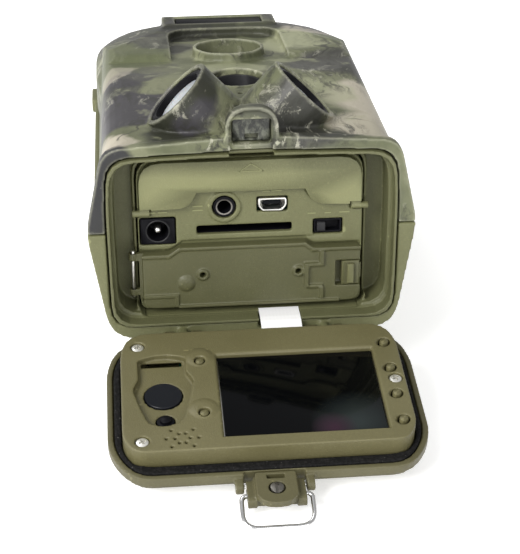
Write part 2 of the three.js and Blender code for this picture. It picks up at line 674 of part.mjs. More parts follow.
function makeDoorShell() {
  const body = slab(doorOutline, 0, shellFloor, 1.2).intersect(
    join(slab(doorOutline, -1.3, shellFloor - 1, 2), slab(doorOutline, 1, shellFloor + 1.7, 2)),
  );
  let shell = cut(
    body,
    slab(doorOutline, -1.5, 0, 2),
    slab(doorOutline, -2.4, shellFloor + 1.2, 2, 4),
  );
  for (const [x0, x1] of knuckles.door) {
    shell = shell.add(dBox(x0, x1, 0, 3.3, -1.4, 1)).add(barrel(x0, x1, 0, 0, hinge.radius));
  }
  for (const sx of [-1, 1]) {
    const [a, b] = sx < 0 ? [-9.7, -7.6] : [7.6, 9.7];
    shell = shell.add(dBox(a, b, 54, latchPivot.v, latchPivot.w - 1.6, latchPivot.w + 1.6));
    shell = shell.add(barrel(a, b, -latchPivot.v, latchPivot.w, 1.6));
  }
  return cut(
    shell,
    ...knuckles.door.map(([x0, x1]) => barrel(x0 - 1, x1 + 1, 0, 0, hinge.pin + gap)),
    ...knuckles.housing.map(([x0, x1]) => barrel(x0 - 0.3, x1 + 0.3, 0, 0, hinge.radius + 0.7)),
    barrel(-10, 10, -latchPivot.v, latchPivot.w, 1.0),
    dBox(-7.5, 7.5, 54.2, 60, -4, 2),
    dBox(1.2, 13.2, 0, 5, -1.4, 2),
  );
}
add("door_shell", makeDoorShell(), olive, door);
add(
  "door_gasket",
  cut(
    slab(doorOutline, -1.8, gap, gasketTop, 5),
    slab(panelOutline, gap, -1, 3, 4),
    slab(doorOutline, -4.5, -1, 3, 4),
    dBox(1, 13.4, 0, 8, -1, 3),
    dBox(-7.9, 7.9, 54, 60, -1, 3),
  ),
  rubber,
  door,
);

function makePanel() {
  const raised = cut(
    slab(panelOutline, 0, gap, panelTop, 4),
    slab(panelOutline, -0.8, -1, panelTop - 1.7, 3),
  );
  const bosses = doorScrews.map(([u, v]) => dRod(u, v, -1.6, panelTop - 1, 2.3, 2.3, 12));
  const keyholeFloor = slab(keyhole, 1, 3.4, panelTop - 1, 3);
  const bevel = slab(windowOutline, 0.4, panelTop - 0.4, panelTop + 1);
  return cut(
    join(raised, keyholeFloor, ...bosses).intersect(slab(panelOutline, 0, -4, 8, 4)),
    slab(windowOutline, 0, 0, 8),
    bevel,
    slab(keyhole, 0, panelTop - keyholeDepth, 8, 3),
    dRod(eye.u, eye.v, 0, 8, eye.radius + 0.3),
    dRod(-25.6, 37.9, 0, 8, 2.5),
    ...doorScrews.map(([u, v]) => join(dRod(u, v, panelTop - 1.6, 8, 1.9, 1.9, 16), dRod(u, v, -4, 6, 1.1, 1.1, 8))),
    ...sideButtons.map(([u, v]) => dRod(u, v, 0, 8, 1.65, 1.65, 14)),
    ...navButtons.map(([u, v]) => dRod(u, v, 0, 8, 1.65, 1.65, 14)),
    ...speakerHoles().map(([u, v]) => dRod(u, v, 3, 8, 0.5, 0.5, 6)),
    dBox(1.2, 13.2, 0, 7, -2, 1.6),
  );
}
function speakerHoles() {
  const holes = [];
  for (const [radius, turn] of [[1.85, 63], [4, 47]]) {
    for (const angle of [0, turn, 180 - turn, 180, 180 + turn, -turn]) {
      const a = THREE.MathUtils.degToRad(angle);
      holes.push([speakerAt.u + radius * Math.cos(a), speakerAt.v + radius * Math.sin(a)]);
    }
  }
  return holes;
}
add("door_panel", makePanel(), olive, door);
add("lcd_glass", slab(windowOutline, -gap, panelTop - 1.6, panelTop - 1.1), glass, door);
add("lcd_module", dBox(-12.5, 30, 13.2, 47.2, 0.3, panelTop - 2), steel, door);
add("door_board", dBox(-21, 21, 8.5, 44, -1.5, -0.5), board, door);
add("speaker", dRod(speakerAt.u, speakerAt.v - 0.8, 0.2, 3.2, 3.5, 3.5, 20), black, door);
add("sensor_eye", dRod(eye.u, eye.v, 1.2, panelTop - keyholeDepth + 0.3, eye.radius, eye.radius, 28), glass, door);
add(
  "microphone",
  join(dRod(-25.6, 37.9, 1.2, panelTop - 1.5, 2.2, 2.2, 16), dRod(-25.6, 37.9, panelTop - 1.6, panelTop - 0.9, 1.4, 1.1, 12)),
  black,
  door,
);
doorScrews.forEach(([u, v], i) => {
  const screw = join(dRod(u, v, panelTop - 1.5, panelTop - 0.3, 1.7, 1.6, 16), dRod(u, v, -1.5, panelTop - 1.4, 0.8, 0.8, 8));
  add(`door_screw_${i + 1}`, screw, steel, door);
});
function buttonBody([u, v]) {
  return join(dRod(u, v, 2.4, panelTop + 0.4, 1.25, 1.1, 14), dRod(u, v, 1.6, 2.6, 1.8, 1.8, 12));
}
navButtons.forEach((at, i) => add(`nav_button_${i + 1}`, buttonBody(at), olive, door));
sideButtons.forEach((at, i) => add(`side_button_${i + 1}`, buttonBody(at), olive, door));

// ---- Hinge pins ----
add("hinge_pin_left", barrel(-24.6, -14.2, 0, 0, hinge.pin), steel, door);
add("hinge_pin_right", barrel(13.6, 24.2, 0, 0, hinge.pin), steel, door);

// ---- Latch on the door's far edge ----
const at = (v, w) => [-v, w];
function makeLever() {
  const plate = alongZ(
    outline([[-5, -55.6, 1], [5, -55.6, 1], [5, -63, 0], [3.4, -66, 2.6], [-3.4, -66, 2.6], [-5, -63, 0]]),
    0.2,
    2,
    4,
  );
  const cheek = (x0, x1) =>
    alongX(
      outline([
        [...at(latchPivot.v - 1.4, latchPivot.w + 1.2), 1],
        [...at(latchPivot.v - 1.4, latchPivot.w - 1.4), 1],
        [...at(63.6, latchPivot.w - 1.4), 2],
        [...at(63.6, latchPivot.w + 2), 2],
      ]),
      x0,
      x1,
      4,
    );
  const middle = dBox(-5.4, 5.4, latchPivot.v - 1.2, 62.5, latchPivot.w - 1.2, 0.6);
  return cut(
    join(plate, middle, cheek(-7.1, -4.9), cheek(4.9, 7.1)),
    barrel(-10, 10, -latchPivot.v, latchPivot.w, 1.0),
    barrel(-8, -3.6, -bailPivot.v, bailPivot.w, wireRadius + 0.3),
    barrel(3.6, 8, -bailPivot.v, bailPivot.w, wireRadius + 0.3),
    dBox(-2.2, 2.2, 56.4, 57.8, -4, 4),
    dRod(0, 61, 0.9, 4, 2.1, 2.1, 16),
    dRod(0, 61, -4, 4, 0.9, 0.9, 10),
  );
}
add("latch_lever", makeLever(), olive, door);
add(
  "lever_screw",
  join(dRod(0, 61, 1.2, 2.4, 1.8, 1.6, 16), dRod(0, 61, -2.4, 1.4, 0.6, 0.6, 8)),
  steel,
  door,
);
add("latch_pin", barrel(-9.6, 9.6, -latchPivot.v, latchPivot.w, 0.7), steel, door);

// The bail is modelled flat about its own pivot, then hangs by its angle at rest.
function makeBail() {
  const p = (x, v) => new THREE.Vector3(x, -v, 0);
  const route = new THREE.CurvePath();
  const inner = 4;
  const outer = 8.6;
  const reach = 8.7;
  const bend = 1.6;
  const corner = 4;
  route.add(new THREE.LineCurve3(p(-inner, 0), p(-outer + bend, 0)));
  route.add(new THREE.QuadraticBezierCurve3(p(-outer + bend, 0), p(-outer, 0), p(-outer, bend)));
  route.add(new THREE.LineCurve3(p(-outer, bend), p(-outer, reach - corner)));
  route.add(new THREE.QuadraticBezierCurve3(p(-outer, reach - corner), p(-outer, reach), p(corner - outer, reach)));
  route.add(new THREE.LineCurve3(p(corner - outer, reach), p(outer - corner, reach)));
  route.add(new THREE.QuadraticBezierCurve3(p(outer - corner, reach), p(outer, reach), p(outer, reach - corner)));
  route.add(new THREE.LineCurve3(p(outer, reach - corner), p(outer, bend)));
  route.add(new THREE.QuadraticBezierCurve3(p(outer, bend), p(outer, 0), p(outer - bend, 0)));
  route.add(new THREE.LineCurve3(p(outer - bend, 0), p(inner, 0)));
  const section = new THREE.Shape().absarc(0, 0, wireRadius, 0, Math.PI * 2);
  return new THREE.ExtrudeGeometry(section, { extrudePath: route, steps: 44, curveSegments: 4, bevelEnabled: false });
}
const bailGroup = new THREE.Group();
bailGroup.position.set(0, -bailPivot.v, bailPivot.w);
bailGroup.rotation.x = THREE.MathUtils.degToRad(bailDrop);
door.add(bailGroup);
add("wire_bail", solid(makeBail()), steel, bailGroup);

// ---- Ribbon cable from the housing, over the hinge, into the door ----
function makeRibbon() {
  const top = [[4.6, 4.9], [0.4, 4.9], [-2.2, 4.4], [-6.6, 2.9]];
  const thick = 0.5;
  const low = top.map(([y, z]) => [y, z - thick]).toReversed();
  return alongX(outline([...top, ...low].map(([y, z]) => [y, z, 0])), 1.8, 12.8);
}
add("ribbon_cable", makeRibbon(), material(0xe8e8ec, 0.5));

export default camera;
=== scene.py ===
"""Trail camera lying on its back with its bottom door open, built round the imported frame.

Lengths in this file are millimetres in the body's own frame, unless a name says otherwise. Its origin is
the middle of the rim's lowest edge, +Y runs up the body and +Z out of the lens face. place() takes them
to the row frame. On the door, u runs across, v from the hinge axis to the latch edge, and w stands off it.
"""
import json
import math

import bmesh
import bpy
from mathutils import Matrix, Vector


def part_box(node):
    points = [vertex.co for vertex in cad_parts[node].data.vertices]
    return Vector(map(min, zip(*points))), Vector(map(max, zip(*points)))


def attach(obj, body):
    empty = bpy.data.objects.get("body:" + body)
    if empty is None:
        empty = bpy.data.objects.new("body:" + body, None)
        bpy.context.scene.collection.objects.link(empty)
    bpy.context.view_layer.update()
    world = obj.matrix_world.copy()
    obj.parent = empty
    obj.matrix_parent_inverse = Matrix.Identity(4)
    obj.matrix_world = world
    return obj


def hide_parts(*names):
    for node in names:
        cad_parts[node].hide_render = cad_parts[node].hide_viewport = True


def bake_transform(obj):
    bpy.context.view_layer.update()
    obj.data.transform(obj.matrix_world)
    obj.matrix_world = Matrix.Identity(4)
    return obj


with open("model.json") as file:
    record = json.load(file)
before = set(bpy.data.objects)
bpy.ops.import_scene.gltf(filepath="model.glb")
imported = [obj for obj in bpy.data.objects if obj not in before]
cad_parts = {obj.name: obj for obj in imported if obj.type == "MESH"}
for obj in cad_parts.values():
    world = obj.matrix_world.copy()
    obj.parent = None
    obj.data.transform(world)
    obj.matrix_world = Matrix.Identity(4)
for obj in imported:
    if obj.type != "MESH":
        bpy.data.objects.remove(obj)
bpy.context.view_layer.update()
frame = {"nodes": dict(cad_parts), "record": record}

MM = 0.001
BODY_SHIFT = Vector((0, -59, 15))  # body frame to row frame
HINGE = Vector((0, -2.4, 0.9))  # door hinge axis in the body frame
DOOR_TILT = math.radians(10)
PANEL_TOP = 5.7  # top of the door's raised panel over the hinge axis
STRIP_FACE = 7.4  # depth of the connector strip behind the rim
UPPER_COVER_FACE = 5.7
LOWER_COVER_FACE = 4.9
SMOOTH_ANGLE = math.radians(32)


def place(x, y, z):
    """A point of the body frame, in the row frame in metres."""
    return (Vector((x, y, z)) + BODY_SHIFT) * MM


BODY_AXES = Matrix.Translation(BODY_SHIFT * MM)
DOOR_AXES = Matrix.Translation((BODY_SHIFT + HINGE) * MM) @ Matrix.Rotation(DOOR_TILT, 4, "X")


# ---- Camera, light and floor ----
def add_camera():
    azimuth = math.radians(5.10)
    depression = math.radians(26.34)
    roll = math.radians(-0.34)
    forward = Vector(
        (
            math.sin(azimuth) * math.cos(depression),
            math.cos(azimuth) * math.cos(depression),
            -math.sin(depression),
        )
    )
    level_right = Vector((math.cos(azimuth), -math.sin(azimuth), 0))
    level_up = level_right.cross(forward)
    right = level_right * math.cos(roll) + level_up * math.sin(roll)
    up = right.cross(forward)
    data = bpy.data.cameras.new("camera")
    data.lens = 98.06
    data.sensor_width = 36
    data.clip_start = 0.01
    data.clip_end = 20
    camera = bpy.data.objects.new("camera", data)
    bpy.context.scene.collection.objects.link(camera)
    basis = Matrix((right, up, -forward)).transposed().to_4x4()
    camera.matrix_world = Matrix.Translation(Vector((-30.5, -420.6, 211.9)) * MM) @ basis
    bpy.context.scene.camera = camera


def area_light(name, position, target, size, power, color=(1, 1, 1)):
    data = bpy.data.lights.new(name, "AREA")
    data.shape = "DISK"
    data.size = size
    data.energy = power
    data.color = color
    lamp = bpy.data.objects.new(name, data)
    bpy.context.scene.collection.objects.link(lamp)
    aim = (Vector(target) - Vector(position)).to_track_quat("-Z", "Y")
    lamp.matrix_world = Matrix.Translation(position) @ aim.to_matrix().to_4x4()


def add_light():
    area_light("key_light", (-0.85, -0.9, 0.85), (0, -0.02, 0.03), 0.75, 22.0, (1.0, 0.99, 0.97))
    area_light("fill_light", (0.3, -1.25, 0.5), (0, -0.03, 0.03), 0.9, 6.0)
    area_light("top_light", (-0.6, 0.5, 1.3), (0, 0, 0.03), 0.6, 6.0)
    world = bpy.data.worlds.new("studio")
    world.use_nodes = True
    background = world.node_tree.nodes["Background"]
    background.inputs["Color"].default_value = (1, 1, 1, 1)
    background.inputs["Strength"].default_value = 0.5
    bpy.context.scene.world = world
    bpy.context.scene.view_settings.view_transform = "Standard"
    bpy.context.scene.view_settings.look = "None"


def add_floor():
    half = 1.6
    mesh = bpy.data.meshes.new("floor")
    corners = [(-half, -half, 0), (half, -half, 0), (half, 2 * half, 0), (-half, 2 * half, 0)]
    mesh.from_pydata(corners, [], [(0, 1, 2, 3)])
    floor = bpy.data.objects.new("floor", mesh)
    bpy.context.scene.collection.objects.link(floor)
    floor.location.z = -0.0002
    paper = bpy.data.materials.new("floor_paper")
    paper.use_nodes = True
    shader = paper.node_tree.nodes["Principled BSDF"]
    shader.inputs["Base Color"].default_value = (0.9, 0.9, 0.9, 1)
    shader.inputs["Roughness"].default_value = 0.85
    shader.inputs["Emission Color"].default_value = (1, 1, 1, 1)
    shader.inputs["Emission Strength"].default_value = 0.5
    mesh.materials.append(paper)


# ---- Materials ----
class Nodes:
    """A short way to build a shader: each call adds a node and returns its output."""

    def __init__(self, name):
        self.material = bpy.data.materials.new(name)
        self.material.use_nodes = True
        self.tree = self.material.node_tree
        self.shader = self.tree.nodes["Principled BSDF"]
        coordinates = self.tree.nodes.new("ShaderNodeTexCoord")
        self.position = coordinates.outputs["Object"]

    def feed(self, socket, value):
        if isinstance(value, bpy.types.NodeSocket):
            self.tree.links.new(value, socket)
        elif isinstance(value, (tuple, list)) and len(value) == 3 and socket.type == "RGBA":
            socket.default_value = (*value, 1)
        else:
            socket.default_value = value

    def stretch(self, source, scale, turn=(0, 0, 0)):
        node = self.tree.nodes.new("ShaderNodeMapping")
        self.feed(node.inputs["Vector"], source)
        node.inputs["Scale"].default_value = scale
        node.inputs["Rotation"].default_value = turn
        return node.outputs["Vector"]

    def noise(self, scale, detail=3, roughness=0.5, source=None):
        node = self.tree.nodes.new("ShaderNodeTexNoise")
        self.feed(node.inputs["Vector"], source or self.position)
        node.inputs["Scale"].default_value = scale
        node.inputs["Detail"].default_value = detail
        node.inputs["Roughness"].default_value = roughness
        return node.outputs["Fac"]

    def noise_color(self, scale, source=None, detail=2):
        node = self.tree.nodes.new("ShaderNodeTexNoise")
        self.feed(node.inputs["Vector"], source or self.position)
        node.inputs["Scale"].default_value = scale
        node.inputs["Detail"].default_value = detail
        return node.outputs["Color"]

    def cells(self, scale, source=None, feature="F1", output="Distance"):
        node = self.tree.nodes.new("ShaderNodeTexVoronoi")
        node.feature = feature
        self.feed(node.inputs["Vector"], source or self.position)
        node.inputs["Scale"].default_value = scale
        return node.outputs[output]

    def ramp(self, source, *stops):
        node = self.tree.nodes.new("ShaderNodeValToRGB")
        self.feed(node.inputs["Fac"], source)
        elements = node.color_ramp.elements
        while len(elements) < len(stops):
            elements.new(0.5)
        for element, (at, value) in zip(elements, stops):
            element.position = at
            element.color = (*value, 1) if isinstance(value, tuple) else (value, value, value, 1)
        return node.outputs["Color"]

    def mix(self, factor, a, b):
        node = self.tree.nodes.new("ShaderNodeMix")
        node.data_type = "RGBA"
        self.feed(node.inputs[0], factor)
        self.feed(node.inputs[6], a)
        self.feed(node.inputs[7], b)
        return node.outputs[2]

    def math(self, operation, a, b=0.0):
        node = self.tree.nodes.new("ShaderNodeMath")
        node.operation = operation
        self.feed(node.inputs[0], a)
        self.feed(node.inputs[1], b)
        return node.outputs[0]

    def offset(self, source, color, amount):
        scaled = self.tree.nodes.new("ShaderNodeVectorMath")
        scaled.operation = "MULTIPLY_ADD"
        self.feed(scaled.inputs[0], color)
        scaled.inputs[1].default_value = (amount, amount, amount)
        self.feed(scaled.inputs[2], source)
        return scaled.outputs["Vector"]

    def edges(self, low=0.5, high=0.58):
        """1 on convex edges, 0 on flat and hollow places."""
        node = self.tree.nodes.new("ShaderNodeNewGeometry")
        return self.ramp(node.outputs["Pointiness"], (low, 0.0), (high, 1.0))

    def bump(self, height, distance, strength=1.0):
        node = self.tree.nodes.new("ShaderNodeBump")
        self.feed(node.inputs["Height"], height)
        node.inputs["Distance"].default_value = distance
        node.inputs["Strength"].default_value = strength
        return node.outputs["Normal"]

    def wobbled(self, scale, amount):
        """The position, pushed about by noise with no shift on average. amount is in metres."""
        centred = self.tree.nodes.new("ShaderNodeVectorMath")
        centred.operation = "SUBTRACT"
        self.feed(centred.inputs[0], self.position)
        centred.inputs[1].default_value = (amount / 2, amount / 2, amount / 2)
        return self.offset(centred.outputs["Vector"], self.noise_color(scale, detail=6), amount)

    def patch(self, source, centre, radius, soft=0.35):
        """1 near a point of the body frame, 0 beyond radius. Lengths in millimetres."""
        away = self.tree.nodes.new("ShaderNodeVectorMath")
        away.operation = "DISTANCE"
        self.feed(away.inputs[0], source)
        away.inputs[1].default_value = place(*centre)
        fade = self.tree.nodes.new("ShaderNodeMapRange")
        self.feed(fade.inputs["Value"], away.outputs["Value"])
        fade.inputs["From Min"].default_value = radius * MM
        fade.inputs["From Max"].default_value = radius * (1 - soft) * MM
        return fade.outputs["Result"]

    def finish(self, **values):
        for name, value in values.items():
            self.feed(self.shader.inputs[name.replace("_", " ")], value)
        return self.material


def olive_plastic(name, dark, light, roughness=0.5):
    n = Nodes(name)
    patches = n.noise(38, 3)
    base = n.mix(n.ramp(patches, (0.3, 0.0), (0.7, 1.0)), dark, light)
    grainy = n.ramp(n.noise(1500, 4, 0.7), (0.35, 0.0), (0.65, 1.0))
    base = n.mix(n.math("MULTIPLY", grainy, 0.3), base, tuple(c * 0.72 for c in dark))
    specks = n.ramp(n.noise(2600, 1), (0.66, 0.0), (0.74, 0.3))
    base = n.mix(specks, base, tuple(min(1, c * 1.7) for c in light))
    # Painted highlight: convex edges are mixed toward a brighter olive.
    base = n.mix(n.ramp(n.edges(0.53, 0.62), (0.0, 0.0), (1.0, 0.5)), base, tuple(c * 1.9 for c in light))
    grain = n.noise(3200, 2, 0.6)
    rough = n.ramp(n.noise(120, 4), (0.2, roughness - 0.07), (0.8, roughness + 0.07))
    return n.finish(
        Base_Color=base,
        Roughness=rough,
        Specular_IOR_Level=0.4,
        Normal=n.bump(grain, 0.00011, 0.8),
    )


PURPLE = (0.043, 0.040, 0.047)
DUSK = (0.022, 0.022, 0.025)
BARK = (0.022, 0.023, 0.016)
MOSS = (0.085, 0.098, 0.044)
TAN = (0.44, 0.40, 0.32)
PALE = (0.31, 0.32, 0.20)
# Patches on the film: centre, radius, softness, colour, strength. Most are the print; the four BARK patches
# from y 98 to 117 make the arch's back and side walls darker.
PATCHES = (
    ((-30, 33, 54), 15, 0.35, PURPLE, 0.95),
    ((-36, 52, 52), 12, 0.4, PURPLE, 0.7),
    ((-27, 120, 48), 17, 0.45, BARK, 0.75),
    ((-12, 118, 52), 10, 0.4, PURPLE, 0.7),
    ((-30, 84, 50), 15, 0.5, MOSS, 0.6),
    ((-22, 99, 50), 12, 0.5, PURPLE, 0.6),
    ((-42, -1, 44), 15, 0.35, DUSK, 0.97),
    ((-42, 12, 52), 9, 0.5, TAN, 0.8),
    ((-20, 12, 66), 15, 0.4, BARK, 0.95),
    ((-12, 14, 60), 8, 0.5, PURPLE, 0.8),
    ((18, 8, 60), 11, 0.4, BARK, 0.6),
    ((28, 70, 52), 15, 0.5, PURPLE, 0.75),
    ((22, 98, 52), 13, 0.5, PALE, 0.85),
    ((28, 114, 50), 11, 0.5, TAN, 0.7),
    ((36, 98, 46), 11, 0.5, MOSS, 0.7),
    ((36, 62, 50), 9, 0.5, BARK, 0.6),
    ((37, 34, 50), 17, 0.5, TAN, 0.9),
    ((33, 12, 54), 12, 0.5, TAN, 0.7),
    ((20, 40, 56), 12, 0.5, PALE, 0.6),
    ((0, 66, 55), 12, 0.5, PALE, 0.6),
    ((42, 10, 40), 10, 0.4, PURPLE, 0.7),
    ((0, 138, 44), 14, 0.5, MOSS, 0.7),
    # These four make the arch's back and side walls darker.
    ((0, 117, 50), 8, 0.4, BARK, 0.85),
    ((-13, 116, 50), 8, 0.4, BARK, 0.85),
    ((13, 116, 50), 7, 0.4, BARK, 0.75),
    ((-18, 98, 51), 6, 0.4, BARK, 0.7),
    ((30, 126, 46), 10, 0.5, PURPLE, 0.6),
    ((-37, 8, 56), 7, 0.5, TAN, 0.7),
    ((-36, 66, 52), 7, 0.5, TAN, 0.5),
)


def camouflage():
    n = Nodes("camouflage_film")
    wobble = n.wobbled(55, 0.016)
    cloudy = n.noise(30, 4, 0.55, wobble)
    base = n.mix(n.ramp(cloudy, (0.35, 0.0), (0.65, 1.0)), (0.094, 0.102, 0.055), (0.176, 0.182, 0.110))
    base = n.mix(n.ramp(n.noise(70, 4, 0.55, wobble), (0.5, 0.0), (0.62, 0.6)), base, (0.072, 0.080, 0.041))
    loose = n.noise(24, 3, 0.5, n.offset(wobble, (0.7, 5.2, 2.9), 1.0))
    base = n.mix(n.ramp(loose, (0.55, 0.0), (0.61, 0.8)), base, PURPLE)
    for centre, radius, soft, color, strength in PATCHES:
        mask = n.math("MULTIPLY", n.patch(wobble, centre, radius, soft * 0.45), strength)
        base = n.mix(mask, base, color)
    blotch = n.noise(95, 4, 0.6, wobble)
    base = n.mix(n.ramp(blotch, (0.60, 0.0), (0.68, 0.45)), base, PALE)
    fibre = n.noise(420, 5, 0.65, n.stretch(wobble, (1.0, 0.16, 0.6), (0, 0, 0.35)))
    spread = n.noise(40, 2, 0.5, n.offset(wobble, (2.2, 0.4, 6.1), 1.0))
    bark_area = n.ramp(spread, (0.47, 0.1), (0.58, 0.8))
    for centre, radius in (((20, 12, 62), 15), ((-4, 2, 57), 13), ((10, 3, 56), 13)):
        bark_area = n.math("MAXIMUM", bark_area, n.patch(wobble, centre, radius, 0.4))
    fibres = n.math("MULTIPLY", n.ramp(fibre, (0.40, 0.9), (0.52, 0.0)), bark_area)
    base = n.mix(fibres, base, (0.026, 0.026, 0.02))
    flakes = n.noise(300, 5, 0.7, n.stretch(wobble, (1.0, 0.2, 0.7), (0, 0, -0.4)))
    lit = n.math("MULTIPLY", n.ramp(flakes, (0.57, 0.0), (0.65, 0.6)), bark_area)
    base = n.mix(lit, base, (0.46, 0.45, 0.36))
    twig = n.cells(40, n.offset(n.position, n.noise_color(110), 0.016), "DISTANCE_TO_EDGE")
    thickets = n.noise(60, 2, 0.5, n.offset(n.position, (4.2, 1.1, 0.3), 1.0))
    sparse = n.ramp(thickets, (0.53, 0.0), (0.6, 1.0))
    twigs = n.math("MULTIPLY", n.ramp(twig, (0.008, 0.75), (0.022, 0.0)), sparse)
    base = n.mix(twigs, base, (0.03, 0.03, 0.024))
    # Painted highlight: convex edges of the film are mixed toward a pale tan.
    base = n.mix(n.ramp(n.edges(0.51, 0.6), (0.0, 0.0), (1.0, 0.55)), base, (0.50, 0.50, 0.38))
    return n.finish(
        Base_Color=base,
        Roughness=n.ramp(n.noise(90, 3), (0.2, 0.40), (0.8, 0.54)),
        Specular_IOR_Level=0.3,
        Normal=n.bump(n.noise(2400, 2), 0.00005, 0.5),
    )


def catch_camouflage():
    n = Nodes("catch_film")
    bark = n.noise(500, 5, 0.7, n.stretch(n.wobbled(200, 0.004), (1.0, 0.5, 0.6)))
    base = n.mix(n.ramp(bark, (0.45, 0.0), (0.62, 1.0)), (0.012, 0.013, 0.010), (0.10, 0.105, 0.080))
    return n.finish(Base_Color=base, Roughness=0.4, Normal=n.bump(bark, 0.0001, 0.5))


def metal(name, color, roughness, scratches=0.06):
    n = Nodes(name)
    brushed = n.noise(900, 3, 0.6, n.stretch(n.position, (1, 0.15, 1)))
    worn = tuple(c * 0.88 for c in color)
    return n.finish(
        Base_Color=n.mix(n.ramp(n.noise(300, 3), (0.3, 0.0), (0.7, 1.0)), worn, color),
        Metallic=1.0,
        Roughness=n.ramp(brushed, (0.3, roughness), (0.7, roughness + scratches)),
        Normal=n.bump(brushed, 0.00001, 0.3),
    )


def black_plastic(name="black_socket_plastic", color=(0.012, 0.012, 0.013), roughness=0.42, specular=0.25):
    n = Nodes(name)
    tone = n.mix(n.ramp(n.noise(150, 3), (0.3, 0.0), (0.7, 1.0)), color, tuple(c * 1.8 for c in color))
    return n.finish(
        Base_Color=tone,
        Roughness=n.ramp(n.noise(400, 3), (0.2, roughness - 0.08), (0.8, roughness + 0.1)),
        Specular_IOR_Level=specular,
        Normal=n.bump(n.noise(2800, 2), 0.00004, 0.5),
    )


def foam_rubber():
    n = Nodes("foam_gasket_rubber")
    pores = n.cells(1500)
    clumps = n.noise(900, 5, 0.7)
    tone = n.mix(n.ramp(clumps, (0.45, 0.0), (0.75, 1.0)), (0.004, 0.004, 0.004), (0.018, 0.017, 0.017))
    dust = n.ramp(n.noise(1700, 2), (0.71, 0.0), (0.77, 0.5))
    tone = n.mix(dust, tone, (0.35, 0.34, 0.32))
    height = n.mix(0.5, pores, clumps)
    return n.finish(
        Base_Color=tone, Roughness=0.8, Specular_IOR_Level=0.2, Normal=n.bump(height, 0.0004, 0.9)
    )


def dark_glass(name, color, tint, roughness=0.06, specular=0.5):
    n = Nodes(name)
    sweep = n.noise(16, 2, 0.4, n.stretch(n.position, (1.0, 1.6, 1.0), (0, 0, 0.5)))
    return n.finish(
        Base_Color=n.mix(n.ramp(sweep, (0.4, 0.0), (0.7, 1.0)), color, tint),
        Roughness=n.ramp(n.noise(500, 3), (0.3, roughness), (0.8, roughness + 0.05)),
        Specular_IOR_Level=specular,
    )


def display_window():
    """Near black, with painted reflection: faint tinted patches in the corner by the latch."""
    n = Nodes("display_window")
    # Painted reflection: a pale green-grey patch, then a pinkish one, mixed into the base colour.
    painted_reflection = n.patch(n.position, (22, -45, -2), 12, 0.9)
    base = n.mix(painted_reflection, (0.0012, 0.0014, 0.0018), (0.020, 0.026, 0.026))
    base = n.mix(n.patch(n.position, (16, -46.5, -2.2), 6, 0.9), base, (0.030, 0.014, 0.024))
    return n.finish(
        Base_Color=base,
        Roughness=n.ramp(n.noise(500, 3), (0.3, 0.07), (0.8, 0.1)),
        Specular_IOR_Level=0.12,
    )


def sensor_film():
    n = Nodes("sensor_lens_film")
    rings = n.tree.nodes.new("ShaderNodeTexWave")
    rings.wave_type = "RINGS"
    rings.rings_direction = "Z"
    rings.inputs["Scale"].default_value = 260
    n.feed(rings.inputs["Vector"], n.position)
    cloud = n.ramp(n.noise(80, 3), (0.3, 0.0), (0.7, 1.0))
    return n.finish(
        Base_Color=n.mix(cloud, (0.37, 0.36, 0.37), (0.48, 0.47, 0.48)),
        Roughness=0.32,
        Subsurface_Weight=0.15,
        Normal=n.bump(rings.outputs["Fac"], 0.00008, 0.5),
    )


def circuit_board():
    n = Nodes("circuit_board_mask")
    tracks = n.ramp(n.cells(420, None, "DISTANCE_TO_EDGE"), (0.03, 1.0), (0.05, 0.0))
    return n.finish(
        Base_Color=n.mix(tracks, (0.012, 0.06, 0.03), (0.03, 0.13, 0.06)),
        Roughness=0.35,
        Normal=n.bump(tracks, 0.00003, 0.6),
    )


def white_ribbon():
    n = Nodes("ribbon_film")
    lines = n.tree.nodes.new("ShaderNodeTexWave")
    lines.bands_direction = "X"
    lines.inputs["Scale"].default_value = 320
    n.feed(lines.inputs["Vector"], n.position)
    faint = n.ramp(lines.outputs["Fac"], (0.4, 0.0), (0.9, 0.06))
    tone = n.mix(faint, (0.94, 0.94, 0.95), (0.74, 0.75, 0.78))
    return n.finish(Base_Color=tone, Roughness=0.38, Normal=n.bump(lines.outputs["Fac"], 0.00002, 0.2))


OLIVE = olive_plastic("olive_moulding", (0.110, 0.112, 0.050), (0.142, 0.145, 0.070))
# Painted shade: the olive darkened to about six tenths, so the lower cover and its latch look less lit than
# the strip and the upper cover.
SHADED_COVER_OLIVE = olive_plastic("cover_moulding_painted_shade", (0.068, 0.068, 0.030), (0.090, 0.090, 0.042), 0.38)
# Painted shade: the olive darkened to four fifths for the liner, whose walls and tray sit inside the
# recess.
SHADED_LINER_OLIVE = olive_plastic("liner_moulding", (0.088, 0.090, 0.040), (0.116, 0.118, 0.057))
# Painted shade: the panel olive darkened by about a quarter for the door shell's front, which tilts away
# from the light. The button caps and the latch lever share it.
SHADED_DOOR_OLIVE = olive_plastic("door_moulding_painted_shade", (0.078, 0.071, 0.031), (0.099, 0.091, 0.043), 0.44)
PANEL_OLIVE = olive_plastic("panel_moulding", (0.106, 0.096, 0.042), (0.134, 0.122, 0.058), 0.42)
CAMO = camouflage()
CATCH = catch_camouflage()
BLACK = black_plastic()
DEEP_BLACK = black_plastic("deep_black_plastic", (0.003, 0.003, 0.004), 0.45, 0.1)
RUBBER = foam_rubber()
STEEL = metal("plated_steel", (0.80, 0.79, 0.75), 0.30)
SCREW_STEEL = metal("bright_screw_steel", (0.92, 0.91, 0.86), 0.42, 0.1)
DULL_STEEL = metal("dull_steel", (0.22, 0.21, 0.19), 0.32)
CHROME = metal("polished_wire", (0.72, 0.72, 0.72), 0.20, 0.05)
GLASS = dark_glass("dark_window", (0.004, 0.004, 0.006), (0.010, 0.009, 0.016), 0.12, 0.3)
LED_WINDOW = dark_glass("led_window", (0.002, 0.002, 0.003), (0.005, 0.005, 0.007), 0.3, 0.03)
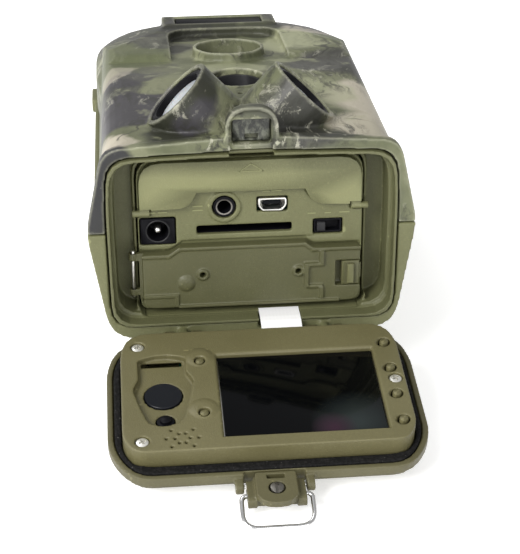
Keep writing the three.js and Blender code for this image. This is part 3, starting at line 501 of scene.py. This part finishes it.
LENS_GLASS = dark_glass("lens_coating", (0.006, 0.010, 0.018), (0.02, 0.01, 0.03), 0.02, 0.8)
EYE_GLASS = dark_glass("sensor_eye_window", (0.006, 0.007, 0.010), (0.009, 0.010, 0.014), 0.35, 0.2)
SCREEN = display_window()
FILM = sensor_film()
BOARD = circuit_board()
RIBBON = white_ribbon()

SLOT_LOOKS = {
    "camouflage_shell": CAMO,
    "olive_plastic": OLIVE,
    "black_plastic": BLACK,
    "seal_rubber": RUBBER,
    "bright_steel": STEEL,
    "chromed_wire": CHROME,
    "dark_window": GLASS,
    "sensor_film": FILM,
    "circuit_board": BOARD,
    "white_ribbon": RIBBON,
}
SLOT_OF = {part["node"]: part["material_slot"] for part in frame["record"]["subparts"]}
BODY_OF = {node: body for body, nodes in frame["record"]["behaviour"]["bodies"].items() for node in nodes}


def dress_cad_nodes():
    for name, node in frame["nodes"].items():
        node.data.materials.clear()
        node.data.materials.append(SLOT_LOOKS[SLOT_OF[name]])


# ---- Mesh tools ----
def mesh_object(name, mesh):
    piece = bpy.data.objects.new(name, mesh)
    bpy.context.scene.collection.objects.link(piece)
    return piece


def from_bmesh(name, bm):
    mesh = bpy.data.meshes.new(name)
    bmesh.ops.recalc_face_normals(bm, faces=bm.faces)
    bm.to_mesh(mesh)
    bm.free()
    return mesh_object(name, mesh)


def bake(piece):
    """Applies every modifier on piece."""
    graph = bpy.context.evaluated_depsgraph_get()
    made = bpy.data.meshes.new_from_object(piece.evaluated_get(graph))
    old = piece.data
    piece.modifiers.clear()
    piece.data = made
    bpy.data.meshes.remove(old)
    return piece


def discard(*pieces):
    for piece in pieces:
        mesh = piece.data
        bpy.data.objects.remove(piece)
        bpy.data.meshes.remove(mesh)


def copy_node(node, name):
    """A new object with the CAD node's shape, welded."""
    bm = bmesh.new()
    bm.from_mesh(frame["nodes"][node].data)
    bmesh.ops.remove_doubles(bm, verts=bm.verts, dist=2e-6)
    return from_bmesh(name, bm)


def boolean(piece, operation, *tools):
    for tool in tools:
        modifier = piece.modifiers.new("boolean", "BOOLEAN")
        modifier.operation = operation
        modifier.solver = "EXACT"
        modifier.object = tool
    bake(piece)
    discard(*tools)
    return piece


def soften(piece, voxel, rounds=3, keep=1.0):
    """Remeshes piece and rounds its edges as a mould does. voxel is in millimetres."""
    remesh = piece.modifiers.new("remesh", "REMESH")
    remesh.mode = "VOXEL"
    remesh.voxel_size = voxel * MM
    if rounds:
        smooth = piece.modifiers.new("smooth", "SMOOTH")
        smooth.factor = 0.5
        smooth.iterations = rounds
    if keep < 1:
        fewer = piece.modifiers.new("fewer", "DECIMATE")
        fewer.ratio = keep
    bake(piece)
    piece.data.polygons.foreach_set("use_smooth", [True] * len(piece.data.polygons))
    return piece


def rounded_edges(piece, width, segments=2, angle=35):
    """Bevels the sharp edges of a plain solid. width is in millimetres."""
    bm = bmesh.new()
    bm.from_mesh(piece.data)
    bmesh.ops.dissolve_limit(bm, angle_limit=math.radians(1.5), verts=bm.verts, edges=bm.edges)
    bm.to_mesh(piece.data)
    bm.free()
    piece.data.polygons.foreach_set("use_smooth", [True] * len(piece.data.polygons))
    bevel = piece.modifiers.new("bevel", "BEVEL")
    bevel.width = width * MM
    bevel.segments = segments
    bevel.limit_method = "ANGLE"
    bevel.angle_limit = math.radians(angle)
    bevel.harden_normals = True
    return bake(piece)


def ready(piece, look, body, slot, *replaced):
    piece.data.materials.clear()
    piece.data.materials.append(look)
    if replaced:
        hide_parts(*replaced)
    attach(piece, body)
    return piece


def box_tool(x0, x1, y0, y1, z0, z1, axes=BODY_AXES):
    bm = bmesh.new()
    bmesh.ops.create_cube(bm, size=1)
    middle = Vector(((x0 + x1) / 2, (y0 + y1) / 2, (z0 + z1) / 2)) * MM
    size = Vector((x1 - x0, y1 - y0, z1 - z0)) * MM
    shape = axes @ Matrix.Translation(middle) @ Matrix.Diagonal((*size, 1))
    bmesh.ops.transform(bm, verts=bm.verts, matrix=shape)
    return from_bmesh("tool", bm)


def rod_tool(start, end, r0, r1=None, sides=32, axes=BODY_AXES):
    r1 = r0 if r1 is None else r1
    a = Vector(start) * MM
    b = Vector(end) * MM
    bm = bmesh.new()
    bmesh.ops.create_cone(
        bm, cap_ends=True, segments=sides, radius1=r0 * MM, radius2=r1 * MM, depth=(b - a).length
    )
    turn = (b - a).to_track_quat("Z", "Y").to_matrix().to_4x4()
    bmesh.ops.transform(bm, verts=bm.verts, matrix=axes @ Matrix.Translation((a + b) / 2) @ turn)
    return from_bmesh("tool", bm)


def plug_tool(half, z0, z1, radius, y0, y1):
    """A block with rounded corners that fills the middle of the recess from y0 to y1."""
    bm = bmesh.new()
    loops = []
    for y in (y0, y1):
        loop = []
        for sx, sz, start in ((1, 1, 0), (-1, 1, 90), (-1, -1, 180), (1, -1, 270)):
            middle_z = z1 - radius if sz > 0 else z0 + radius
            for step in range(7):
                angle = math.radians(start + 15 * step)
                x = sx * (half - radius) + radius * math.cos(angle)
                loop.append(bm.verts.new(place(x, y, middle_z + radius * math.sin(angle))))
        loops.append(loop)
    count = len(loops[0])
    for i in range(count):
        j = (i + 1) % count
        bm.faces.new((loops[0][i], loops[0][j], loops[1][j], loops[1][i]))
    bm.faces.new(loops[0])
    bm.faces.new(loops[1])
    return from_bmesh("tool", bm)


def moulded(node, look, voxel, rounds=3, keep=1.0, join=(), cut=()):
    """A rounded stand-in for a CAD node, with extra pieces joined to it or cut from it first."""
    piece = copy_node(node, node + "_moulding")
    if join:
        boolean(piece, "UNION", *join)
    if cut:
        boolean(piece, "DIFFERENCE", *cut)
    soften(piece, voxel, rounds, keep)
    return ready(piece, look, BODY_OF[node], SLOT_OF[node], node)


def lathe(name, profile, start, axis, axes=BODY_AXES, sides=40, ring=False):
    """Turns a profile of (radius, height) points about an axis. ring closes the profile on itself."""
    turn = Vector(axis).to_track_quat("Z", "Y").to_matrix().to_4x4()
    bm = bmesh.new()
    loops = []
    for radius, height in profile:
        if radius == 0:
            loops.append([bm.verts.new((0, 0, height * MM))])
            continue
        loop = []
        for i in range(sides):
            angle = 2 * math.pi * i / sides
            point = Vector((radius * math.cos(angle), radius * math.sin(angle), height))
            loop.append(bm.verts.new(point * MM))
        loops.append(loop)
    pairs = list(zip(loops, loops[1:]))
    if ring:
        pairs.append((loops[-1], loops[0]))
    for low, high in pairs:
        for i in range(sides):
            j = (i + 1) % sides
            corners = [low[i % len(low)], low[j % len(low)], high[j % len(high)], high[i % len(high)]]
            bm.faces.new(list(dict.fromkeys(corners)))
    piece = from_bmesh(name, bm)
    piece.matrix_world = axes @ Matrix.Translation(Vector(start) * MM) @ turn
    piece.data.polygons.foreach_set("use_smooth", [True] * len(piece.data.polygons))
    piece.data.set_sharp_from_angle(angle=SMOOTH_ANGLE)
    return piece


def on_panel(name, profile, u, v, sides=40):
    """A turned piece that stands on the door at (u, v). Its heights start at the hinge axis."""
    return lathe(name, profile, (u, -v, 0), (0, 0, 1), DOOR_AXES, sides)


def tube(name, points, radius, sides=12):
    """A round wire through points of the row frame, in metres. radius is in millimetres."""
    bm = bmesh.new()
    side = None
    loops = []
    for i, point in enumerate(points):
        along = (points[min(i + 1, len(points) - 1)] - points[max(i - 1, 0)]).normalized()
        if side is None:
            side = along.orthogonal().normalized()
        side = (side - along * side.dot(along)).normalized()
        up = along.cross(side)
        loop = []
        for k in range(sides):
            angle = 2 * math.pi * k / sides
            loop.append(bm.verts.new(point + (side * math.cos(angle) + up * math.sin(angle)) * radius * MM))
        loops.append(loop)
    for low, high in zip(loops, loops[1:]):
        for k in range(sides):
            j = (k + 1) % sides
            bm.faces.new((low[k], low[j], high[j], high[k]))
    bm.faces.new(list(reversed(loops[0])))
    bm.faces.new(loops[-1])
    piece = from_bmesh(name, bm)
    piece.data.polygons.foreach_set("use_smooth", [True] * len(piece.data.polygons))
    piece.data.set_sharp_from_angle(angle=math.radians(60))
    return piece


def curve_through(a, b, c, steps):
    """Points of the quadratic curve from a to c with b as its control point."""
    made = []
    for i in range(steps):
        t = (i + 1) / steps
        made.append(a * (1 - t) ** 2 + b * 2 * t * (1 - t) + c * t**2)
    return made


def strokes(name, lines, width, height, axes):
    """Raised lines on the XY plane of axes. Each line is a list of (x, y) points in millimetres."""
    bm = bmesh.new()
    for line in lines:
        for (x0, y0), (x1, y1) in zip(line, line[1:]):
            length = math.hypot(x1 - x0, y1 - y0) + width
            place_at = (
                axes
                @ Matrix.Translation(Vector(((x0 + x1) / 2, (y0 + y1) / 2, height / 2)) * MM)
                @ Matrix.Rotation(math.atan2(y1 - y0, x1 - x0), 4, "Z")
                @ Matrix.Diagonal((length * MM, width * MM, height * MM, 1))
            )
            made = bmesh.ops.create_cube(bm, size=1)
            bmesh.ops.transform(bm, verts=made["verts"], matrix=place_at)
    return from_bmesh(name, bm)


def face_axes(y):
    """Axes on a plane of the recess: local X is x, local Y is z, and local Z comes out at -Y."""
    upright = Matrix.Rotation(math.radians(90), 4, "X")
    return BODY_AXES @ Matrix.Translation(Vector((0, y, 0)) * MM) @ upright


def panel_axes(w=PANEL_TOP):
    return DOOR_AXES @ Matrix.Translation(Vector((0, 0, w)) * MM) @ Matrix.Diagonal((1, -1, 1, 1))


def bevelled(node, look, width, segments=2, name=None):
    piece = copy_node(node, name or node + "_part")
    rounded_edges(piece, width, segments)
    return ready(piece, look, BODY_OF[node], SLOT_OF[node], node)


# ---- Housing ----
def side_box(side, inner, outer, y0, y1, z0, z1):
    """A box on the left side, -1, or the right side, 1, of the housing."""
    return box_tool(*sorted((side * inner, side * outer)), y0, y1, z0, z1)


def make_shells():
    moulded("front_shell", CAMO, 0.45, 2, 0.55)
    flange = []
    flange_reach = 42
    lug_reach = 43.2
    cuts = [box_tool(x - 1.2, x + 1.2, -4, 0.6, 3.0, 4.6) for x in (-18.6, 19.8)]
    for side in (-1, 1):
        flange.append(side_box(side, 38, flange_reach, 16, 107, 27, 31.2))
        flange.append(side_box(side, 38, lug_reach, 106.5, 118, 27, 31.2))
        cuts.append(side_box(side, flange_reach, 45, 84, 105.8, 25, 33))
    moulded("back_shell", OLIVE, 0.5, 2, 0.5, flange, cuts)
    bevelled("strap_bracket", OLIVE, 0.8, 3)
    moulded("liner", SHADED_LINER_OLIVE, 0.26, 1, cut=(plug_tool(31.4, 4.2, 50.4, 5, 4.0, 8.6),))


def make_chassis():
    shadow_gap = box_tool(-19, 25, 7.0, 9.0, 24.8, 25.5)
    moulded("chassis", OLIVE, 0.32, 2, 0.45, (), (shadow_gap,))
    marks = [
        [(-27.6, 34.0), (-25.6, 34.0)],
        [(-24.6, 34.0), (-22.6, 34.0)],
        [(-15.4, 34.2), (-13.0, 34.2)],
        [(-15.4, 35.4), (-13.0, 35.4)],
        [(3.4, 39.0), (5.0, 39.0)],
        [(5.8, 39.0), (8.2, 39.0)],
        [(15.6, 32.0), (17.4, 32.0)],
        [(20.2, 32.0), (21.6, 32.0)],
        [(24.2, 32.0), (26.6, 32.0)],
    ]
    raised = strokes("strip_marks", marks, 0.35, 0.14, face_axes(STRIP_FACE))
    ready(raised, OLIVE, "housing", "olive_plastic")


def make_upper_cover():
    bevelled("upper_battery_cover", OLIVE, 0.3, 3)
    arrow = [[(-2.9, 45.6), (0.1, 47.7), (3.2, 45.6), (-2.9, 45.6)]]
    raised = strokes("upper_cover_arrow", arrow, 0.22, 0.16, face_axes(UPPER_COVER_FACE))
    ready(raised, OLIVE, "upper_cover", "olive_plastic")


def make_lower_cover():
    face = LOWER_COVER_FACE
    ribs = (  # x from and to, z from and to, height over the face
        (18.5, 19.6, 17.8, 22.0, 0.9),
        (15.6, 19.6, 17.5, 18.5, 0.8),
        (14.3, 15.5, 11.4, 18.5, 0.9),
        (15.0, 19.4, 10.9, 11.8, 0.6),
        (18.5, 19.6, 7.8, 11.2, 0.8),
        (-29.4, -20.2, 9.8, 10.6, 0.5),
        (-21.0, -20.0, 7.0, 10.6, 0.5),
        (-20.0, 24.0, 6.5, 7.2, 0.5),
    )
    joins = [box_tool(x0, x1, face - high, face + 0.6, z0, z1) for x0, x1, z0, z1, high in ribs]
    top_edge = [(-29.2, 22.1), (-22.4, 22.1), (-19.5, 24.1), (14.5, 24.1), (16.7, 22.4), (29.2, 22.4)]
    for ends in zip(top_edge, top_edge[1:]):
        joins.append(strokes("edge", [ends], 0.9, 0.9, face_axes(face + 0.5)))
    washers = ((-13.3, 16.3), (12.7, 16.2))
    for x, z in washers:
        joins.append(rod_tool((x, face + 0.5, z), (x, face - 0.6, z), 2.0, 1.5))
    for radius, high in ((2.2, 0.3), (1.85, 0.55), (1.4, 0.72), (0.8, 0.82)):
        joins.append(rod_tool((-17.8, face + 0.5, 13.8), (-17.8, face - high, 13.8), radius))
    cuts = [rod_tool((x, 0, z), (x, 9, z), 0.8) for x, z in washers]
    moulded("lower_battery_cover", SHADED_COVER_OLIVE, 0.2, 3, 1.0, joins, cuts)
    bevelled("lower_cover_pin", STEEL, 0.1)
    bevelled("cover_latch", SHADED_COVER_OLIVE, 0.22, 3)


def make_sockets():
    bevelled("dc_jack", DEEP_BLACK, 0.2)
    pin = [(0, 9), (0.95, 9), (0.95, 0.9), (0.75, 0.45), (0.4, 0.2), (0, 0.15)]
    ready(
        lathe("dc_jack_pin", pin, (-25, 7.6, 28.5), (0, 1, 0), sides=24),
        STEEL,
        "housing",
        "bright_steel",
    )
    rim = [(2.9, 0), (3.1, -0.12), (3.3, 0), (3.1, 0.2)]
    ready(
        lathe("dc_jack_rim", rim, (-25, 7.3, 28.5), (0, 1, 0), sides=40, ring=True),
        BLACK,
        "housing",
        "black_plastic",
    )
    bevelled("av_jack", DEEP_BLACK, 0.15)
    sleeve = [(1.9, 0.1), (2.25, 0.05), (2.3, 0.6), (1.9, 0.6)]
    ready(
        lathe("av_jack_sleeve", sleeve, (-7.1, 6.9, 35), (0, 1, 0), sides=32, ring=True),
        DULL_STEEL,
        "housing",
        "bright_steel",
    )
    bevelled("usb_socket", STEEL, 0.1)
    tongue = box_tool(3.4, 8.2, 8.0, 13, 34.9, 35.95)
    tongue.name = "usb_tongue"
    ready(rounded_edges(tongue, 0.1), DEEP_BLACK, "housing", "black_plastic")
    bevelled("sd_socket", DEEP_BLACK, 0.1)
    bevelled("switch_housing", DEEP_BLACK, 0.1)
    bevelled("mode_switch_knob", BLACK, 0.25, 3)
    bevelled("catch_plate", CATCH, 0.25, 3)


def spring(name, x, y, z, wide, narrow, height):
    """A conical coil spring that stands on a contact plate at y and points out of the recess."""
    turns = 4.5
    steps = 66
    points = []
    for i in range(steps + 1):
        t = i / steps
        angle = 2 * math.pi * turns * t
        radius = wide + (narrow - wide) * t
        points.append(place(x + radius * math.cos(angle), y - height * t, z + radius * math.sin(angle)))
    return ready(tube(name, points, 0.28, 7), STEEL, "housing", "bright_steel")


def make_contacts():
    plates = (("upper_contact_plate", 38.7, 43.35, 1.9), ("lower_contact_plate", 59.8, 14.9, 3.4))
    for node, y, z, wide in plates:
        low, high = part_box(node)
        plate = box_tool(-27.5, 27.5, y, y + 0.8, low[2] * 1000 - 15, high[2] * 1000 - 15)
        plate.name = node + "_leaf"
        ready(rounded_edges(plate, 0.2), STEEL, "housing", "bright_steel", node)
        for i in range(4):
            x = -27.5 + 55 * (i + 0.5) / 4
            spring(f"{node}_spring_{i + 1}", x, y, z, wide, 1.0, 3.0)


def make_optics():
    axis = (0, 0, 1)
    dome = [(0, 42.6), (4.6, 42.6), (4.9, 43.2), (4.4, 44.0), (3.2, 44.7), (1.6, 45.1), (0, 45.2)]
    ready(lathe("lens_dome", dome, (0, 86.3, 0), axis), LENS_GLASS, "housing", "dark_window", "lens_glass")
    bevelled("lens_barrel", BLACK, 0.2)
    bevelled("ir_led_window", LED_WINDOW, 0.2)
    bevelled("pir_sleeve", BLACK, 0.15)
    window = [(0, 48.6), (6.2, 48.6), (6.3, 49.0), (5.4, 49.4), (3, 49.7), (0, 49.8)]
    cover = lathe("front_sensor_window", window, (0, 51, 0), axis)
    ready(cover, GLASS, "housing", "dark_window", "pir_window")


HORNS = {"left": ((-18.9, 19.5, 63), (-0.69, 0.04, 0.72)), "right": ((16, 19.5, 63), (0.69, 0.04, 0.72))}


def make_horn_sensors():
    film = [(0, -2.7), (7.0, -2.7), (7.1, -2.3), (5.5, -1.9), (3, -1.5), (0, -1.35)]
    for side, (centre, facing) in HORNS.items():
        bevelled(f"{side}_pir_cup", DEEP_BLACK, 0.15)
        piece = lathe(f"{side}_sensor_lens", film, centre, facing, sides=56)
        ready(piece, FILM, "housing", "sensor_film", f"{side}_pir_film")


# ---- Door ----
SIDE_BUTTONS = ((-15.9, 17), (-15.9, 37.2))
NAV_BUTTONS = ((33.2, 12.5), (33.3, 22.9), (33.3, 33.2), (33.4, 43.1))
DOOR_SCREWS = ((-31.8, 9.8), (-31.6, 46.4), (33.9, 27.3))


def make_door():
    gaps = [box_tool(x - 0.4, x + 0.4, -2.6, 2.6, -2.6, 2.6, DOOR_AXES) for x in (-21.2, -17.5, 17.5, 20.9)]
    side = [(-40.2, 13), (-40.2, 43.5), (-37.7, 49.8), (-33.2, 55.3)]
    side += [(-x, v) for x, v in reversed(side)]
    for ends in zip(side, side[1:]):
        gaps.append(strokes("groove", [ends], 0.8, 0.35, panel_axes(-0.5)))
    moulded("door_shell", SHADED_DOOR_OLIVE, 0.28, 2, 0.6, (), gaps)
    joins = []
    for u, v in SIDE_BUTTONS:
        for radius, high in ((3.5, 0.2), (3.1, 0.35), (2.6, 0.5), (1.9, 0.6)):
            foot = (u, 1.7 - v, PANEL_TOP - 0.5)
            top = (u, 1.7 - v, PANEL_TOP + high)
            joins.append(rod_tool(foot, top, radius, axes=DOOR_AXES))
    cuts = []
    for u, v in SIDE_BUTTONS:
        cuts.append(rod_tool((u, -v, 3), (u, -v, 8), 1.5, axes=DOOR_AXES))
    for u, v in NAV_BUTTONS:
        bottom = (u - 0.35, -v - 0.3, PANEL_TOP - 0.6)
        mouth = (u - 0.35, -v - 0.3, PANEL_TOP + 0.1)
        cuts.append(rod_tool(bottom, mouth, 1.5, 2.0, axes=DOOR_AXES))
    cuts.append(box_tool(-31.2, -20.6, -16.6, -14.7, 2.6, 4.6, DOOR_AXES))
    moulded("door_panel", PANEL_OLIVE, 0.24, 2, 0.5, joins, cuts)
    moulded("door_gasket", RUBBER, 0.3, 1, 0.6)
    bevelled("lcd_glass", SCREEN, 0.12)
    bevelled("lcd_module", STEEL, 0.2)
    bevelled("speaker", DEEP_BLACK, 0.2)
    menu = [[(-19.6 + 1.7 * i, 12.3), (-18.7 + 1.7 * i, 12.3)] for i in range(4)]
    menu += [[(-16.9, 32.4), (-16.2, 32.4)], [(-15.5, 32.4), (-14.8, 32.4)]]
    ready(strokes("door_marks", menu, 0.35, 0.12, panel_axes()), PANEL_OLIVE, "door", "olive_plastic")


def make_door_fittings():
    eye = [(0, 1.2), (4.8, 1.2), (4.8, 4.2), (4.65, 4.35), (0, 4.35)]
    ready(on_panel("sensor_eye_window", eye, -25.8, 28.3), EYE_GLASS, "door", "dark_window", "sensor_eye")
    knob = [(0, 1.2), (2.2, 1.2), (2.2, 4.1), (1.5, 4.2), (1.4, 4.9), (1.0, 5.2), (0, 5.3)]
    ready(on_panel("microphone_knob", knob, -25.6, 37.9), DEEP_BLACK, "door", "black_plastic", "microphone")
    cap = [(0, 1.6), (1.8, 1.6), (1.8, 2.6), (1.2, 2.6), (1.2, 5.4), (1.05, 5.8), (0.65, 6.02), (0, 6.08)]
    for kind, spots in (("nav", NAV_BUTTONS), ("side", SIDE_BUTTONS)):
        for i, (u, v) in enumerate(spots, 1):
            name = f"{kind}_button_{i}"
            ready(on_panel(name + "_cap", cap, u, v, 28), SHADED_DOOR_OLIVE, name, "olive_plastic", name)


def screw_head(name, node, profile, start, axis, axes, slots, size, look=SCREW_STEEL, angle=28, sides=32):
    """A turned screw head with its driver recess cut in. slots is 1 for a slot and 2 for a cross."""
    piece = lathe(name, profile, start, axis, axes, sides)
    top = profile[-1][1]
    turn = Vector(axis).to_track_quat("Z", "Y").to_matrix().to_4x4()
    spin = Matrix.Rotation(math.radians(angle), 4, "Z")
    local = axes @ Matrix.Translation(Vector(start) * MM) @ turn @ spin
    tools = []
    for k in range(slots):
        turned = local @ Matrix.Rotation(math.radians(90 * k), 4, "Z")
        tools.append(box_tool(-size, size, -size * 0.27, size * 0.27, top - 1.0, top + 1, turned))
    boolean(piece, "DIFFERENCE", *tools)
    piece.data.polygons.foreach_set("use_smooth", [True] * len(piece.data.polygons))
    piece.data.set_sharp_from_angle(angle=SMOOTH_ANGLE)
    return ready(piece, look, BODY_OF[node], "bright_steel", node)


HOUSING_SCREWS = ((-32.5, 76), (32.5, 76), (-30, 126), (30, 126))
UP = (0, 0, 1)
DOWN = (0, 0, -1)


def make_screws():
    head = [(0, -1.5), (0.8, -1.5), (0.8, 4.2), (1.7, 4.2), (1.7, 5.0), (1.5, 5.3), (0.9, 5.45), (0, 5.5)]
    for i, (u, v) in enumerate(DOOR_SCREWS, 1):
        name = f"door_screw_head_{i}"
        screw_head(name, f"door_screw_{i}", head, (u, -v, 0), UP, DOOR_AXES, 2, 0.95)
    head = [(0, -2.4), (0.6, -2.4), (0.6, 1.2), (1.8, 1.2), (1.8, 1.9), (1.6, 2.25), (0.8, 2.4), (0, 2.4)]
    slotted = {"slots": 1, "size": 1.7, "look": DULL_STEEL, "angle": 90}
    screw_head("lever_screw_head", "lever_screw", head, (0, -61, 0), UP, DOOR_AXES, **slotted)
    head = [(0, -24), (0.9, -24), (0.9, -1.6), (1.4, -1.6), (1.4, -0.7), (1.2, -0.45), (0, -0.4)]
    for i, (x, y) in enumerate(HOUSING_SCREWS, 1):
        name = f"housing_screw_head_{i}"
        screw_head(name, f"housing_screw_{i}", head, (x, y, 0), DOWN, BODY_AXES, 2, 0.8)


def make_latch():
    moulded("latch_lever", SHADED_DOOR_OLIVE, 0.14, 2, 0.4)
    for node in ("latch_pin", "hinge_pin_left", "hinge_pin_right"):
        bevelled(node, STEEL, 0.12)
    swing = Matrix.Rotation(math.radians(17), 4, "X")
    axes = DOOR_AXES @ Matrix.Translation(Vector((0, -60.6, -0.9)) * MM) @ swing
    wide = 8.6
    reach = 8.7
    corner = 4
    half = [(4, 0), (7, 0), (wide, 0), (wide, 1.6)]
    half += [(wide, reach - corner), (wide, reach), (wide - corner, reach)]
    right = [axes @ (Vector((x, -v, 0)) * MM) for x, v in half]
    route = [right[0], right[1]]
    route += curve_through(right[1], right[2], right[3], 6)
    route.append(right[4])
    route += curve_through(right[4], right[5], right[6], 8)
    inverse = axes.inverted()
    left = []
    for point in reversed(route):
        local = inverse @ point
        left.append(axes @ Vector((-local.x, local.y, local.z)))
    ready(tube("bail_wire", route + left, 0.6, 14), CHROME, "wire_bail", "chromed_wire", "wire_bail")


def make_ribbon():
    """The flat cable as one fixed strip between the housing and the door."""
    path = [(6.0, 4.7), (3.5, 4.7), (0.8, 4.7), (-1.2, 4.5), (-3.4, 3.9), (-6.6, 2.75)]
    steps = 4
    thick = 0.45
    points = []
    for (y0, z0), (y1, z1) in zip(path, path[1:]):
        points += [(y0 + (y1 - y0) * k / steps, z0 + (z1 - z0) * k / steps) for k in range(steps)]
    points.append(path[-1])
    section = ((1.8, 0), (12.8, 0), (12.8, -thick), (1.8, -thick))
    bm = bmesh.new()
    rows = []
    for y, z in points:
        rows.append([bm.verts.new(place(x, y, z + high)) for x, high in section])
    for near, far in zip(rows, rows[1:]):
        for k in range(4):
            j = (k + 1) % 4
            bm.faces.new((near[k], near[j], far[j], far[k]))
    bm.faces.new(rows[0])
    bm.faces.new(rows[-1])
    piece = from_bmesh("ribbon_strip", bm)
    piece.data.materials.append(RIBBON)
    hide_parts("ribbon_cable")
    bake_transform(piece)


add_camera()
add_light()
add_floor()
dress_cad_nodes()
make_shells()
make_chassis()
make_upper_cover()
make_lower_cover()
make_sockets()
make_contacts()
make_optics()
make_horn_sensors()
make_door()
make_door_fittings()
make_screws()
make_latch()
make_ribbon()
